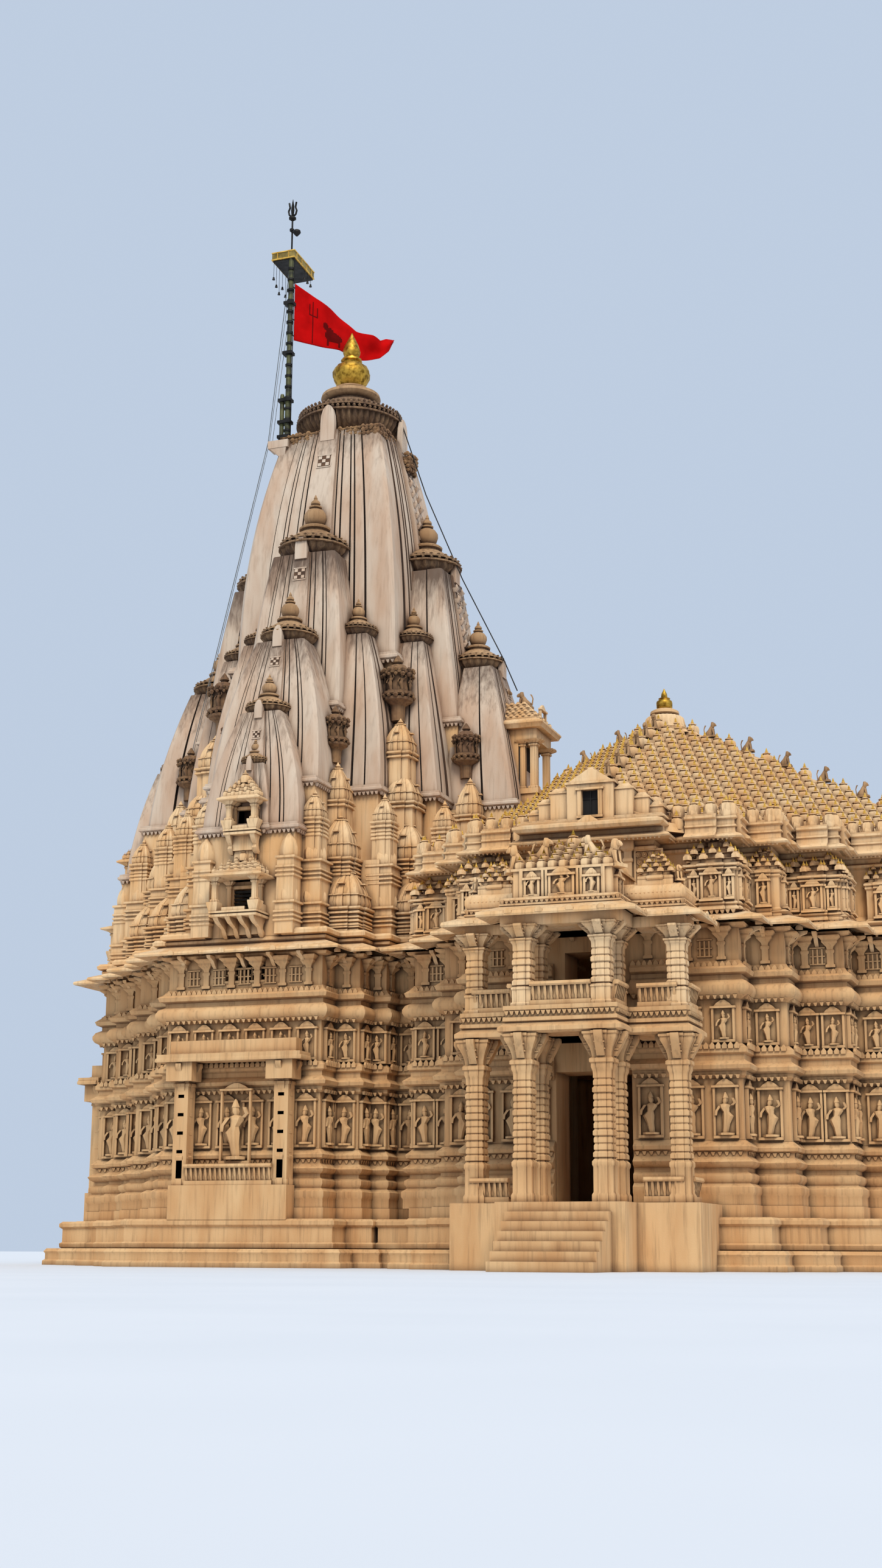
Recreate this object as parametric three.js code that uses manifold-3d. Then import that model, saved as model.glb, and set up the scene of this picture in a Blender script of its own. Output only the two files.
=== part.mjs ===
import * as THREE from "three";
import { mergeVertices } from "three/addons/utils/BufferGeometryUtils.js";
import Module from "manifold-3d";

const wasm = await Module();
wasm.setup();

// Scale. Every size below is in metres of the full-size temple, and METRE turns it into millimetres of the
// half-size model. X runs from the tower to the hall, Y to the north, Z up. The origin is on the ground, on
// the axis of the tower.
const METRE = 500;
const GAP = 0.3 / METRE;

// Farther than any face of the temple: the reach of the boxes that cut whole sides away
const FAR = 60;

// Levels
const GROUND = 0;
const FLOOR = 2.4;
const WALL_TOP = 13.0;
const TOWER_DECK = 13.8;
const UPPER_FLOOR = 17.5;
const SPIRE_BASE = 27.8;
const SHOULDER = 40.6;

// Tower plan, one eighth of it: half-width along the face, then distance from the axis
const TOWER_PLAN = [[3.6, 10.7], [3.6, 9.3], [4.75, 9.3], [4.75, 8.1], [5.5, 8.1], [5.5, 7], [7, 7]];
const TOWER_ROOM_PLAN = [[2.4, 9.2], [2.4, 5.5], [5.5, 5.5]];
const SECOND_ROOM_PLAN = [[1.7, 8.6], [1.7, 4], [4, 4]];
const THIRD_ROOM = { half: 1.6, reach: 5.4, top: 20.2 };
const SHAFT_HALF = 3;
const SHAFT_TOP = 39.4;
const FLOOR_THICKNESS = 0.4;
const TOWER_JOINT_X = 7.1;
const TOWER_DOOR_HALF = 1.3;
const TOWER_DOOR_TOP = 7.2;

// Hall plan round its own axis
const HALL_X = 16.15;
const HALL_PLAN = [[2.9, 13.5], [2.9, 12.4], [5.5, 12.4], [5.5, 10.8], [7, 10.8], [7, 9], [9, 9]];
const HALL_ROOM_PLAN = [[2.7, 11.7]];
const HALL_DOOR_HALF = 1.5;
const HALL_DOOR_TOP = 7.4;
const UPPER_PORCH_DOOR = { half: 1.1, z0: 9.6, z1: 12 };
const GALLERY = { z0: 9, z1: 9.4, width: 2.6 };
const HALL_EAVE_Z = 16.65;

// The hall's roof rises in tiers on a diamond plan and is clipped to a square over the walls
const HALL_ROOF = { top: 24.4, reach: 16.1, shell: 1.4, tiers: 8, cap: 0.9, clip: 13.2 };
const GABLE = { face: 13.5, back: 12.3 };
const GABLE_WINDOW = { half: 0.32, z0: 17.55, z1: 18.45 };

// Half-spires stacked on each face: distance of the axis from the tower's axis, base and shoulder levels,
// half-widths there, half-depths, level of the top and radius of the ribbed ring
const FACE_SPIRES = [
  {
    axis: 4.25, base: 24.95, shoulder: 33.1, tip: 36.6,
    half: 2.35, halfTop: 1.6, depth: 2.4, depthTop: 1.35, ring: 1.55, sides: 10,
  },
  {
    axis: 6.95, base: 20.7, shoulder: 28.0, tip: 30.7,
    half: 2.6, halfTop: 1.2, depth: 2.55, depthTop: 1.1, ring: 1.2, sides: 10,
  },
  {
    axis: 9.0, base: 18.4, shoulder: 24.1, tip: 26.1,
    half: 2.3, halfTop: 0.95, depth: 1.75, depthTop: 0.9, ring: 0.95, sides: 8,
  },
];
const FRONT_SPIRELET = {
  axis: 10.25, base: 18.4, shoulder: 21.5, tip: 22.8,
  half: 1.0, halfTop: 0.6, depth: 0.75, depthTop: 0.5, ring: 0.57, sides: 6,
};
const CORNER_SPIRE = {
  x: 2.45, y: 4.5, base: 20.9, shoulder: 28.9, tip: 30.9,
  half: 1.95, halfTop: 0.75, depth: 1.95, depthTop: 0.75, ring: 0.66, sides: 6,
};
const WIDTH_CURVE = 2.0;
const DEPTH_CURVE = 1.3;
const SPIRE_STEPS = 4;
const MAIN_CURVE = 2.2;
const MAIN_STEPS = 6;
const MAIN_HALF = 4.1;
const MAIN_HALF_TOP = 2.57;

// Small shrines standing in front of the corners: centre, half-width, level of the wall top and of the tip
const CORNER_STACK = [
  { at: 6.0, half: 1.0, wall: 15.2, tip: 16.9 },
  { at: 5.45, half: 0.9, wall: 18.2, tip: 19.6 },
  { at: 5.05, half: 0.8, wall: 20.9, tip: 22.0 },
  { at: 4.75, half: 0.7, wall: 23.4, tip: 24.6 },
  { at: 4.5, half: 0.6, wall: 26.3, tip: 27.1 },
];
const BESIDE_STACK = [
  { x: 3.7, y: 8.3, half: 0.95, wall: 15.3, tip: 17.0 },
  { x: 3.2, y: 7.95, half: 0.8, wall: 18.0, tip: 19.5 },
  { x: 2.8, y: 7.5, half: 0.62, wall: 20.7, tip: 22.0 },
  { x: 2.5, y: 7.2, half: 0.5, wall: 23.6, tip: 24.4 },
];
const COLUMNS = [
  { x: 4.9, y: 7.0, half: 0.5, wall: 19.6, tip: 20.5 },
  { x: 2.6, y: 9.55, half: 0.5, wall: 19.4, tip: 20.3 },
];

// Colours
const LIGHT_STONE = 0xe6cfae;
const TAN_STONE = 0xd9b48c;
const SPIRE_PLASTER = 0xd8c2a8;
const GOLD = 0xc9a227;
const DARK_BRASS = 0x4a4630;
const FLAG_RED = 0xd61414;
const WIRE = 0x6c6c68;

const temple = new THREE.Group();
temple.name = "hindu_temple";

// Solids

function toSolid(geometry) {
  const plain = geometry.clone();
  plain.deleteAttribute("normal");
  plain.deleteAttribute("uv");
  const merged = mergeVertices(plain, 1e-5);
  const vertProperties = new Float32Array(merged.attributes.position.array);
  const triVerts = new Uint32Array(merged.index.array);
  return new wasm.Manifold(new wasm.Mesh({ numProp: 3, vertProperties, triVerts }));
}

function fuse(solids) {
  return solids.reduce((whole, solid) => whole.add(solid));
}

function cut(solid, tools) {
  return tools.reduce((rest, tool) => rest.subtract(tool), solid);
}

function box(x0, x1, y0, y1, z0, z1) {
  const geometry = new THREE.BoxGeometry(x1 - x0, y1 - y0, z1 - z0);
  geometry.translate((x0 + x1) / 2, (y0 + y1) / 2, (z0 + z1) / 2);
  return toSolid(geometry);
}

// A box on the south face of something, given by its half-width and its distances from the axis
function faceBox(half, near, far, z0, z1, middle = 0) {
  return box(middle - half, middle + half, -far, -near, z0, z1);
}

function add(name, solid, colour, roughness = 0.85, metalness = 0) {
  const { vertProperties, triVerts } = solid.getMesh();
  const geometry = new THREE.BufferGeometry();
  geometry.setAttribute("position", new THREE.BufferAttribute(new Float32Array(vertProperties), 3));
  geometry.setIndex(new THREE.BufferAttribute(new Uint32Array(triVerts), 1));
  geometry.scale(METRE, METRE, METRE);
  geometry.computeVertexNormals();
  const material = new THREE.MeshStandardMaterial({ color: colour, roughness, metalness, flatShading: true });
  const mesh = new THREE.Mesh(geometry, material);
  mesh.name = name;
  temple.add(mesh);
}

// Plans

function quarterTurn([x, y], turns) {
  let point = [x, y];
  for (let turn = 0; turn < turns; turn += 1) {
    point = [-point[1], point[0]];
  }
  return point;
}

// The whole plan from one eighth of it, beginning at the south and running anticlockwise
function fourSided(eighth) {
  const first = eighth.map(([along, out]) => [along, -out]);
  const beside = eighth.filter(([along, out]) => along !== out).reverse();
  const quarter = [...first, ...beside.map(([along, out]) => [out, -along])];
  return [0, 1, 2, 3].flatMap((turns) => quarter.map((point) => quarterTurn(point, turns)));
}

function outward(from, to) {
  const length = Math.hypot(to[0] - from[0], to[1] - from[1]);
  return [(to[1] - from[1]) / length, (from[0] - to[0]) / length];
}

// A plan moved outwards by a distance, edge by edge
function grown(plan, distance) {
  return plan.map((point, index) => {
    const a = outward(plan.at(index - 1), point);
    const b = outward(point, plan[(index + 1) % plan.length]);
    const share = distance / (1 + a[0] * b[0] + a[1] * b[1]);
    return [point[0] + (a[0] + b[0]) * share, point[1] + (a[1] + b[1]) * share];
  });
}

function shapeOf(plan, hole) {
  const shape = new THREE.Shape(plan.map(([x, y]) => new THREE.Vector2(x, y)));
  if (hole) {
    shape.holes.push(new THREE.Path(hole.map(([x, y]) => new THREE.Vector2(x, y))));
  }
  return shape;
}

// A straight-sided slab of a plan, with a hole where one is given
function slab(plan, z0, z1, hole) {
  const geometry = new THREE.ExtrudeGeometry(shapeOf(plan, hole), { depth: z1 - z0, bevelEnabled: false });
  geometry.translate(0, 0, z0);
  return toSolid(geometry);
}

// One plan drawn at several levels and joined: each level gives its height and how to place a point
function loft(plan, levels) {
  const steps = levels.length - 1;
  const geometry = new THREE.ExtrudeGeometry(shapeOf(plan), { depth: steps, steps, bevelEnabled: false });
  const position = geometry.attributes.position;
  for (let index = 0; index < position.count; index += 1) {
    const level = levels[Math.round(position.getZ(index))];
    const [x, y] = level.place(position.getX(index), position.getY(index));
    position.setXYZ(index, x, y, level.z);
  }
  return toSolid(geometry);
}

// Bands of a moulding, each a slab of the plan moved outwards
function moulding(plan, bands) {
  return fuse(bands.map(([distance, z0, z1]) => slab(grown(plan, distance), z0, z1)));
}

// Spires

// Plans of the spires with a half-width of one: a middle rib that stands proud, then the corner
const RIB_PROUD = 1.1;
const RIB_HALF = 0.36;
const FACE_SPIRE_PLAN = [
  [-1, 1],
  [-1, -1],
  [-RIB_HALF, -1],
  [-RIB_HALF, -RIB_PROUD],
  [RIB_HALF, -RIB_PROUD],
  [RIB_HALF, -1],
  [1, -1],
  [1, 1],
];
const CORNER_SPIRE_PLAN = fourSided([[1, 1]]);
const MAIN_PLAN = fourSided([[0.28, RIB_PROUD], [0.28, 1.04], [0.64, 1.04], [0.64, 1], [1, 1]]);
const COURSE = 0.12;
const COURSE_HEIGHT = 0.3;

function curved(start, end, share, curve) {
  return start - (start - end) * share ** curve;
}

// The curved body of a spire round its own axis. grow makes the larger copy that neighbours are cut with.
function spireBody(spec, plan, steps, grow = 0) {
  const levels = [];
  for (let step = 0; step <= steps; step += 1) {
    const share = step / steps;
    const across = curved(spec.half, spec.halfTop, share, spec.widthCurve ?? WIDTH_CURVE) + grow;
    const out = curved(spec.depth, spec.depthTop, share, spec.depthCurve ?? DEPTH_CURVE) + grow;
    let z = spec.base + (spec.shoulder - spec.base) * share;
    if (step === 0) {
      z -= grow;
    }
    if (step === steps) {
      z += grow;
    }
    levels.push({ z, place: (x, y) => [x * across, y * out] });
  }
  return loft(plan, levels);
}

// The neck, ribbed ring, disc, pot and point that crown a spire: share of the ring's radius, then of the rise
const CROWN_PROFILE = [
  [0, -0.1],
  [0.78, -0.1],
  [1, 0.14],
  [0.9, 0.28],
  [0.4, 0.36],
  [0.46, 0.56],
  [0.14, 0.74],
  [0, 1],
];

function crown(spec, grow = 0) {
  const rise = spec.tip - spec.shoulder;
  const points = CROWN_PROFILE.map(([radius, share]) => {
    return new THREE.Vector2(radius === 0 ? 0 : radius * spec.ring + grow, share * rise);
  });
  points[points.length - 1].y += grow;
  const geometry = new THREE.LatheGeometry(points, spec.sides);
  geometry.rotateX(Math.PI / 2);
  geometry.rotateZ(Math.PI / spec.sides);
  geometry.translate(0, 0, spec.shoulder);
  return toSolid(geometry);
}

// A half-spire on the south face, crown and base course included
function faceSpire(spec, grow = 0) {
  const body = spireBody(spec, FACE_SPIRE_PLAN, SPIRE_STEPS, grow);
  const reach = spec.depth * RIB_PROUD + COURSE + grow;
  const width = spec.half + COURSE + grow;
  const course = box(-width, width, -reach, 0, spec.base - grow, spec.base + COURSE_HEIGHT + grow);
  return fuse([body, course, crown(spec, grow)]).translate([0, -spec.axis, 0]);
}

// A small shrine: a straight shaft from its foot and a tapered cap
function shrine(x, y, half, foot, wall, tip) {
  return squareTower(x, y, [[half, foot], [half, wall], [half * 0.2, tip]]);
}

// A square post or tower: half-width and level of each section
function squareTower(x, y, sections) {
  const plan = [[-1, -1], [1, -1], [1, 1], [-1, 1]];
  return loft(plan, sections.map(([size, z]) => ({ z, place: (px, py) => [x + px * size, y + py * size] })));
}

// Turned copies: side 0 faces south, 1 east, 2 north and 3 west
const SIDES = ["south", "east", "north", "west"];

function turned(solid, side) {
  return side === 0 ? solid : solid.rotate([0, 0, 90 * side]);
}

// Tower, masonry inside

const towerPlan = fourSided(TOWER_PLAN);
const towerRoom = fourSided(TOWER_ROOM_PLAN);
const towerFootprint = slab(grown(towerPlan, GAP), GROUND - 1, HALL_ROOF.top + 1);
const westOfJoint = box(-FAR, TOWER_JOINT_X, -FAR, FAR, GROUND - 1, FAR);
const towerSpace = westOfJoint.add(slab(towerPlan, GROUND, FAR));
const eastOfJoint = box(TOWER_JOINT_X + GAP, FAR, -FAR, FAR, GROUND - 1, FAR);

// The stepped mass behind the shrines and below the spires: half-width, distance reached, level of the top
const CORE_BLOCKS = [
  [3.95, 3.95, SPIRE_BASE],
  [2.3, 6.7, 24.95],
  [4.3, 6.35, 20.9],
  [2.6, 9.6, 20.7],
  [2.25, 10.8, 18.4],
  [4.9, 7.6, UPPER_FLOOR],
  [3.3, 9.0, 16.0],
];

function coreMass(grow) {
  const foot = TOWER_DECK + GAP;
  const blocks = [];
  for (const [half, reach, top] of CORE_BLOCKS) {
    const block = box(-half - grow, half + grow, -reach - grow, reach + grow, foot - grow, top + grow);
    blocks.push(block, turned(block, 1));
  }
  return fuse(blocks);
}

const coreCutter = coreMass(GAP);

// Balconies in front of the two upper doorways of a face
const BALCONY_WALL = 10.8;
const LOWER_BALCONY = {
  half: 1.2, roofHalf: 1.35, reach: 12.1, roofReach: 12.45, ledge: 14.7, roof: 16.2, window: 0.55,
};
const UPPER_BALCONY = {
  half: 0.75, roofHalf: 0.95, reach: 11.6, roofReach: 11.75, ledge: 18.35, roof: 19.65, window: 0.44,
};
const PARAPET = { thick: 0.12, rise: 0.35 };
const BALCONY_SIDES = [0, 2, 3];

// The doorway behind a balcony, cut from the room out through the face
function doorway({ window, ledge, roof }) {
  return faceBox(window, THIRD_ROOM.reach - 1, FAR, ledge + 0.1, roof - 0.3);
}

const lowerDoorway = doorway(LOWER_BALCONY);
const upperDoorway = doorway(UPPER_BALCONY);

function buildSecondStorey() {
  const below = box(-FAR, FAR, -FAR, FAR, TOWER_DECK, UPPER_FLOOR);
  const room = slab(fourSided(SECOND_ROOM_PLAN), TOWER_DECK - 1, UPPER_FLOOR - FLOOR_THICKNESS);
  const doors = BALCONY_SIDES.map((side) => turned(lowerDoorway, side));
  return cut(coreMass(0).intersect(below), [room, ...doors]);
}

function buildUpperWalls() {
  const foot = UPPER_FLOOR + GAP;
  const above = box(-FAR, FAR, -FAR, FAR, foot, FAR);
  const { half, reach, top } = THIRD_ROOM;
  const room = box(-reach, reach, -half, half, foot - 1, top);
  const shaft = box(-SHAFT_HALF, SHAFT_HALF, -SHAFT_HALF, SHAFT_HALF, foot - 1, SPIRE_BASE + 1);
  const doors = BALCONY_SIDES.map((side) => turned(upperDoorway, side));
  return cut(coreMass(0).intersect(above), [room, turned(room, 1), shaft, ...doors]);
}

// Ground storey of the tower

const PLINTH_BANDS = [[1.6, GROUND, 0.7], [1.1, 0.6, 1.9], [0.4, 1.8, FLOOR]];

function buildTowerPlinth() {
  const steps = moulding(towerPlan, PLINTH_BANDS);
  return steps.intersect(westOfJoint).add(slab(towerPlan, GROUND, FLOOR));
}

const CORNICE = { reach: 0.3, z0: 10.3, z1: 10.7 };
const LATTICE_WINDOW = { half: 0.95, z0: 11.9, z1: 12.75 };

// The walls are built in four parts: a south and a north one beyond this line, a west and an east one between
const WALL_SPLIT = 6.2;

function towerWallRing() {
  const wall = slab(towerPlan, FLOOR + GAP, WALL_TOP, towerRoom);
  const cornice = slab(grown(towerPlan, CORNICE.reach), CORNICE.z0, CORNICE.z1, towerRoom);
  return wall.add(cornice.intersect(westOfJoint));
}

function buildTowerWalls() {
  const ring = towerWallRing();
  const split = WALL_SPLIT;
  const door = box(1, FAR, -TOWER_DOOR_HALF, TOWER_DOOR_HALF, FLOOR - 1, TOWER_DOOR_TOP);
  const south = ring.intersect(box(-FAR, FAR, -FAR, -split - GAP, GROUND, FAR));
  const north = ring.intersect(box(-FAR, FAR, split + GAP, FAR, GROUND, FAR));
  const west = ring.intersect(box(-FAR, -1, -split, split, GROUND, FAR));
  const east = ring.intersect(box(1, FAR, -split, split, GROUND, FAR)).subtract(door);
  const southLattice = faceBox(LATTICE_WINDOW.half, split, FAR, LATTICE_WINDOW.z0, LATTICE_WINDOW.z1);
  const northLattice = turned(southLattice, 2);
  const westLattice = turned(southLattice, 3);
  add("tower_south_wall", south.subtract(southLattice), TAN_STONE);
  add("tower_north_wall", north.subtract(northLattice), TAN_STONE);
  add("tower_west_wall", west.subtract(westLattice), TAN_STONE);
  add("tower_east_wall", east, TAN_STONE);
}

// Eaves over the ground storey, sloping outwards in steps
const EAVE = { reach: 1.15, edge: 0.2, rise: 0.45 };

function eave(plan) {
  const z0 = WALL_TOP + GAP;
  const { reach, edge, rise } = EAVE;
  return moulding(plan, [[reach, z0, z0 + edge], [reach * 0.6, z0 + edge - 0.05, z0 + rise]]);
}

function buildTowerEave() {
  return eave(towerPlan).intersect(westOfJoint).add(slab(towerPlan, WALL_TOP + GAP, TOWER_DECK));
}

// A porch window at the foot of a tower face: two columns with capitals under a slab. Each member gives its
// half-width, the distance that it reaches and its levels.
const TOWER_PORCH = {
  near: 11.1,
  slab: [3.3, 12.2, 8.4, 8.7],
  upstand: [2.9, 11.7, 8.6, 9.3],
  sill: [2.7, 11.9, PLINTH_BANDS[1][2] + GAP, 3.3],
  column: [0.32, 11.75, PLINTH_BANDS[1][2] + GAP, 8.5],
  capital: [0.6, 12.05, 7.6, 8.4],
  columnX: 2.3,
};

function buildTowerPorch(side) {
  const { slab: roof, upstand, sill, column: shaft, capital, columnX } = TOWER_PORCH;
  const near = TOWER_PORCH.near + GAP;
  const member = ([half, reach, z0, z1], x = 0) => faceBox(half, near, reach, z0, z1, x);
  const columns = [-columnX, columnX].flatMap((x) => [member(shaft, x), member(capital, x)]);
  return turned(fuse([member(roof), member(upstand), member(sill), ...columns]), side);
}

// Spires

const MAIN_SPIRE = {
  half: MAIN_HALF,
  halfTop: MAIN_HALF_TOP,
  depth: MAIN_HALF,
  depthTop: MAIN_HALF_TOP,
  base: SPIRE_BASE + GAP,
  shoulder: SHOULDER,
  widthCurve: MAIN_CURVE,
  depthCurve: MAIN_CURVE,
};

function mainSpireBody(grow) {
  const body = spireBody(MAIN_SPIRE, MAIN_PLAN, MAIN_STEPS, grow);
  const width = MAIN_HALF * RIB_PROUD + COURSE + grow;
  const course = box(-width, width, -width, width, MAIN_SPIRE.base - grow, MAIN_SPIRE.base + 0.4 + grow);
  return body.add(course);
}

const FLAG_CORBEL = { x: -2.55, y: -2.55, reach: 3.3, z0: 39.9, z1: SHOULDER - 0.15 };

function flagCorbel(grow) {
  const { x, y, reach, z0, z1 } = FLAG_CORBEL;
  return box(-reach - grow, x + 0.3 + grow, y - 0.35 - grow, y + 0.45 + grow, z0 - grow, z1 + grow);
}

const mainCutter = mainSpireBody(GAP);

const FRIEZE_HALF = 2.72;
const TONGUE = { half: 0.55, near: 1.5, far: 2.95, z0: SHOULDER - 0.3, z1: SHOULDER + 0.5 };

// The tongue that rises in front of the ribbed ring on each face
function tongues(grow) {
  const { half, near, far, z0, z1 } = TONGUE;
  const tongue = faceBox(half + grow, near - grow, far + grow, z0, z1 + grow);
  return SIDES.map((name, side) => turned(tongue, side));
}

function buildMainSpire() {
  const hollow = squareTower(0, 0, [[SHAFT_HALF, SPIRE_BASE - 1], [SHAFT_HALF, 33], [1.6, SHAFT_TOP]]);
  const frieze = box(-FRIEZE_HALF, FRIEZE_HALF, -FRIEZE_HALF, FRIEZE_HALF, SHOULDER - 0.45, SHOULDER);
  return fuse([mainSpireBody(0), frieze, flagCorbel(0), ...tongues(0)]).subtract(hollow);
}

function lathe(profile, sides) {
  const points = profile.map(([radius, z]) => new THREE.Vector2(radius, z));
  const geometry = new THREE.LatheGeometry(points, sides);
  geometry.rotateX(Math.PI / 2);
  return toSolid(geometry);
}

const RING_SIDES = 20;
const RING_PROFILE = [
  [0, SHOULDER + GAP],
  [2.05, SHOULDER + GAP],
  [2.05, 41.3],
  [2.65, 41.6],
  [2.7, 42.4],
  [2.0, 42.9],
  [1.3, 43.15],
  [1.45, 43.6],
  [1.2, 44.1],
  [0, 44.25],
];

function buildMainRing() {
  return cut(lathe(RING_PROFILE, RING_SIDES), tongues(GAP));
}

function buildMainFinial() {
  return lathe([
    [0, 44.25 + GAP],
    [0.55, 44.25 + GAP],
    [0.98, 44.9],
    [0.85, 45.45],
    [0.4, 45.8],
    [0.48, 46.1],
    [0.2, 46.85],
    [0, 47.24],
  ], 12);
}

const faceCutters = FACE_SPIRES.map((spec) => faceSpire(spec, GAP));
const spireletCutter = faceSpire(FRONT_SPIRELET, GAP);

function buildFaceSpires() {
  SIDES.forEach((name, side) => {
    const count = name === "east" ? 2 : 3;
    for (let rank = 0; rank < count; rank += 1) {
      const spec = FACE_SPIRES[rank];
      let solid = faceSpire(spec);
      if (rank === 2) {
        solid = solid.add(faceSpire(FRONT_SPIRELET));
      }
      const tools = [coreCutter, mainCutter];
      if (rank > 0) {
        tools.push(faceCutters[rank - 1]);
      }
      solid = cut(solid, tools);
      solid = largest(solid);
      if (rank === 2) {
        solid = solid.subtract(upperDoorway);
      }
      add(`${name}_half_spire_${rank + 1}`, turned(solid, side), SPIRE_PLASTER);
    }
  });
}

// The biggest closed piece of a cut solid, without slivers left on the far side
function largest(solid) {
  const pieces = solid.decompose();
  return pieces.reduce((best, piece) => (piece.volume() > best.volume() ? piece : best));
}

// Corner groups: a base course, shrines in tiers and two quarter-spires over them

// The course runs round the corner from start, but leaves the front of each middle bay free up to bay
const BASE_COURSE = { reach: 0.25, height: 0.45, start: 1.7, bay: 2.3, bayFace: 10.95 };

const cornerSpires = [[CORNER_SPIRE.x, CORNER_SPIRE.y], [CORNER_SPIRE.y, CORNER_SPIRE.x]];

function cornerSpire(x, y) {
  const body = spireBody(CORNER_SPIRE, CORNER_SPIRE_PLAN, SPIRE_STEPS);
  const width = CORNER_SPIRE.half + COURSE;
  const { base } = CORNER_SPIRE;
  const course = box(-width, width, -width, width, base, base + COURSE_HEIGHT);
  return fuse([body, course, crown(CORNER_SPIRE)]).translate([x, -y, 0]);
}

function buildCorners() {
  const foot = TOWER_DECK + GAP;
  const { reach, height, start, bay, bayFace } = BASE_COURSE;
  const course = slab(grown(towerPlan, reach), foot, foot + height);
  const quarterSquare = box(start, FAR, -FAR, -start, GROUND, FAR);
  const beyondBay = box(0, bay, -FAR, -bayFace, GROUND, FAR);
  const parts = [course.intersect(quarterSquare)];
  for (const { at, half, wall, tip } of CORNER_STACK) {
    parts.push(shrine(at, -at, half, foot, wall, tip));
  }
  for (const { x, y, half, wall, tip } of [...BESIDE_STACK, ...COLUMNS]) {
    parts.push(shrine(x, -y, half, foot, wall, tip));
    parts.push(shrine(y, -x, half, foot, wall, tip));
  }
  for (const [x, y] of cornerSpires) {
    parts.push(cornerSpire(x, y));
  }
  const eastCutters = faceCutters.map((cutter) => turned(cutter, 1));
  const neighbours = [coreCutter, mainCutter, ...faceCutters, ...eastCutters];
  const beyondBays = [beyondBay, turned(beyondBay.mirror([1, 0, 0]), 1)];
  const group = largest(cut(fuse(parts), [...beyondBays, ...neighbours]));
  ["southeast", "northeast", "northwest", "southwest"].forEach((name, side) => {
    add(`${name}_corner_shrines`, turned(group, side).intersect(towerSpace), LIGHT_STONE);
  });
}

// Balconies

function balcony({ half, roofHalf, reach, roofReach, ledge, roof }) {
  const wall = BALCONY_WALL;
  const near = wall + GAP;
  const { thick, rise } = PARAPET;
  const parts = [
    faceBox(half, near, reach, ledge - 0.25, ledge),
    faceBox(half * 0.8, near, wall + (reach - wall) * 0.6, ledge - 0.8, ledge - 0.2),
    faceBox(half, reach - thick, reach, ledge - 0.1, ledge + rise),
    faceBox(roofHalf, near, roofReach, roof, roof + 0.14),
    faceBox(roofHalf * 0.75, near, wall + (roofReach - wall) * 0.7, roof + 0.1, roof + 0.8),
  ];
  for (const x of [-half + thick, half - thick]) {
    parts.push(faceBox(thick, reach - thick * 2, reach, ledge - 0.1, roof + 0.05, x));
  }
  return fuse(parts);
}

function buildBalconies() {
  const near = BALCONY_WALL + GAP;
  const link = faceBox(0.6, near, near + 0.4, LOWER_BALCONY.roof + 0.5, UPPER_BALCONY.ledge - 0.2);
  const balconies = fuse([balcony(LOWER_BALCONY), link, balcony(UPPER_BALCONY)]);
  const both = largest(cut(balconies, [faceCutters[2], spireletCutter]));
  for (const side of BALCONY_SIDES) {
    add(`${SIDES[side]}_balconies`, turned(both, side), LIGHT_STONE);
  }
}

// Antefix: the gabled block over the way from the hall to the tower

const ANTEFIX = { half: 1.2, back: 6, front: 10.25, foot: 18.4 + GAP, eave: 24.95 };
const NICHE = { half: 0.55, depth: 0.9, z0: 21.9, z1: 24.1 };
const LION = { x0: 8.25, x1: 9.15, half: 0.25, top: 26.9 };

function buildAntefix() {
  const { half, back, front, foot, eave: top } = ANTEFIX;
  const { half: nicheHalf, depth, z0, z1 } = NICHE;
  const block = box(back, front, -half, half, foot, top);
  const niche = box(front - depth, FAR, -nicheHalf, nicheHalf, z0, z1);
  const sideNiche = box(front - 0.5 - nicheHalf * 2, front - 0.5, -FAR, FAR, z0, z1);
  const roof = box(back, front + 0.3, -half - 0.35, half + 0.35, top, top + 0.2);
  const tier = box(back, front - 0.3, -half, half, top + 0.1, top + 0.7);
  const upper = box(back, front - 0.9, -half * 0.7, half * 0.7, top + 0.6, top + 1.15);
  const sill = box(back, front + 0.15, -half - 0.15, half + 0.15, z0 - 0.4, z0 - 0.1);
  const lion = box(LION.x0, LION.x1, -LION.half, LION.half, top + 1.1, LION.top);
  const whole = cut(fuse([block, roof, tier, upper, sill]), [niche, sideNiche]).add(lion);
  const eastSpires = [0, 1].map((rank) => turned(faceCutters[rank], 1));
  return largest(cut(whole, [coreCutter, mainCutter, ...eastSpires]));
}

// Hall

// The tower stands on the west side, so the hall has porches and gables on the other three
const HALL_SIDES = [0, 1, 2];
const hallPlan = fourSided(HALL_PLAN);
const hallInner = fourSided(HALL_ROOM_PLAN);

function atHall(solid) {
  return solid.translate([HALL_X, 0, 0]);
}

function besideTower(solid) {
  return atHall(solid).intersect(eastOfJoint).subtract(towerFootprint);
}

function buildHallPlinth() {
  return besideTower(moulding(hallPlan, PLINTH_BANDS));
}

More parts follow.
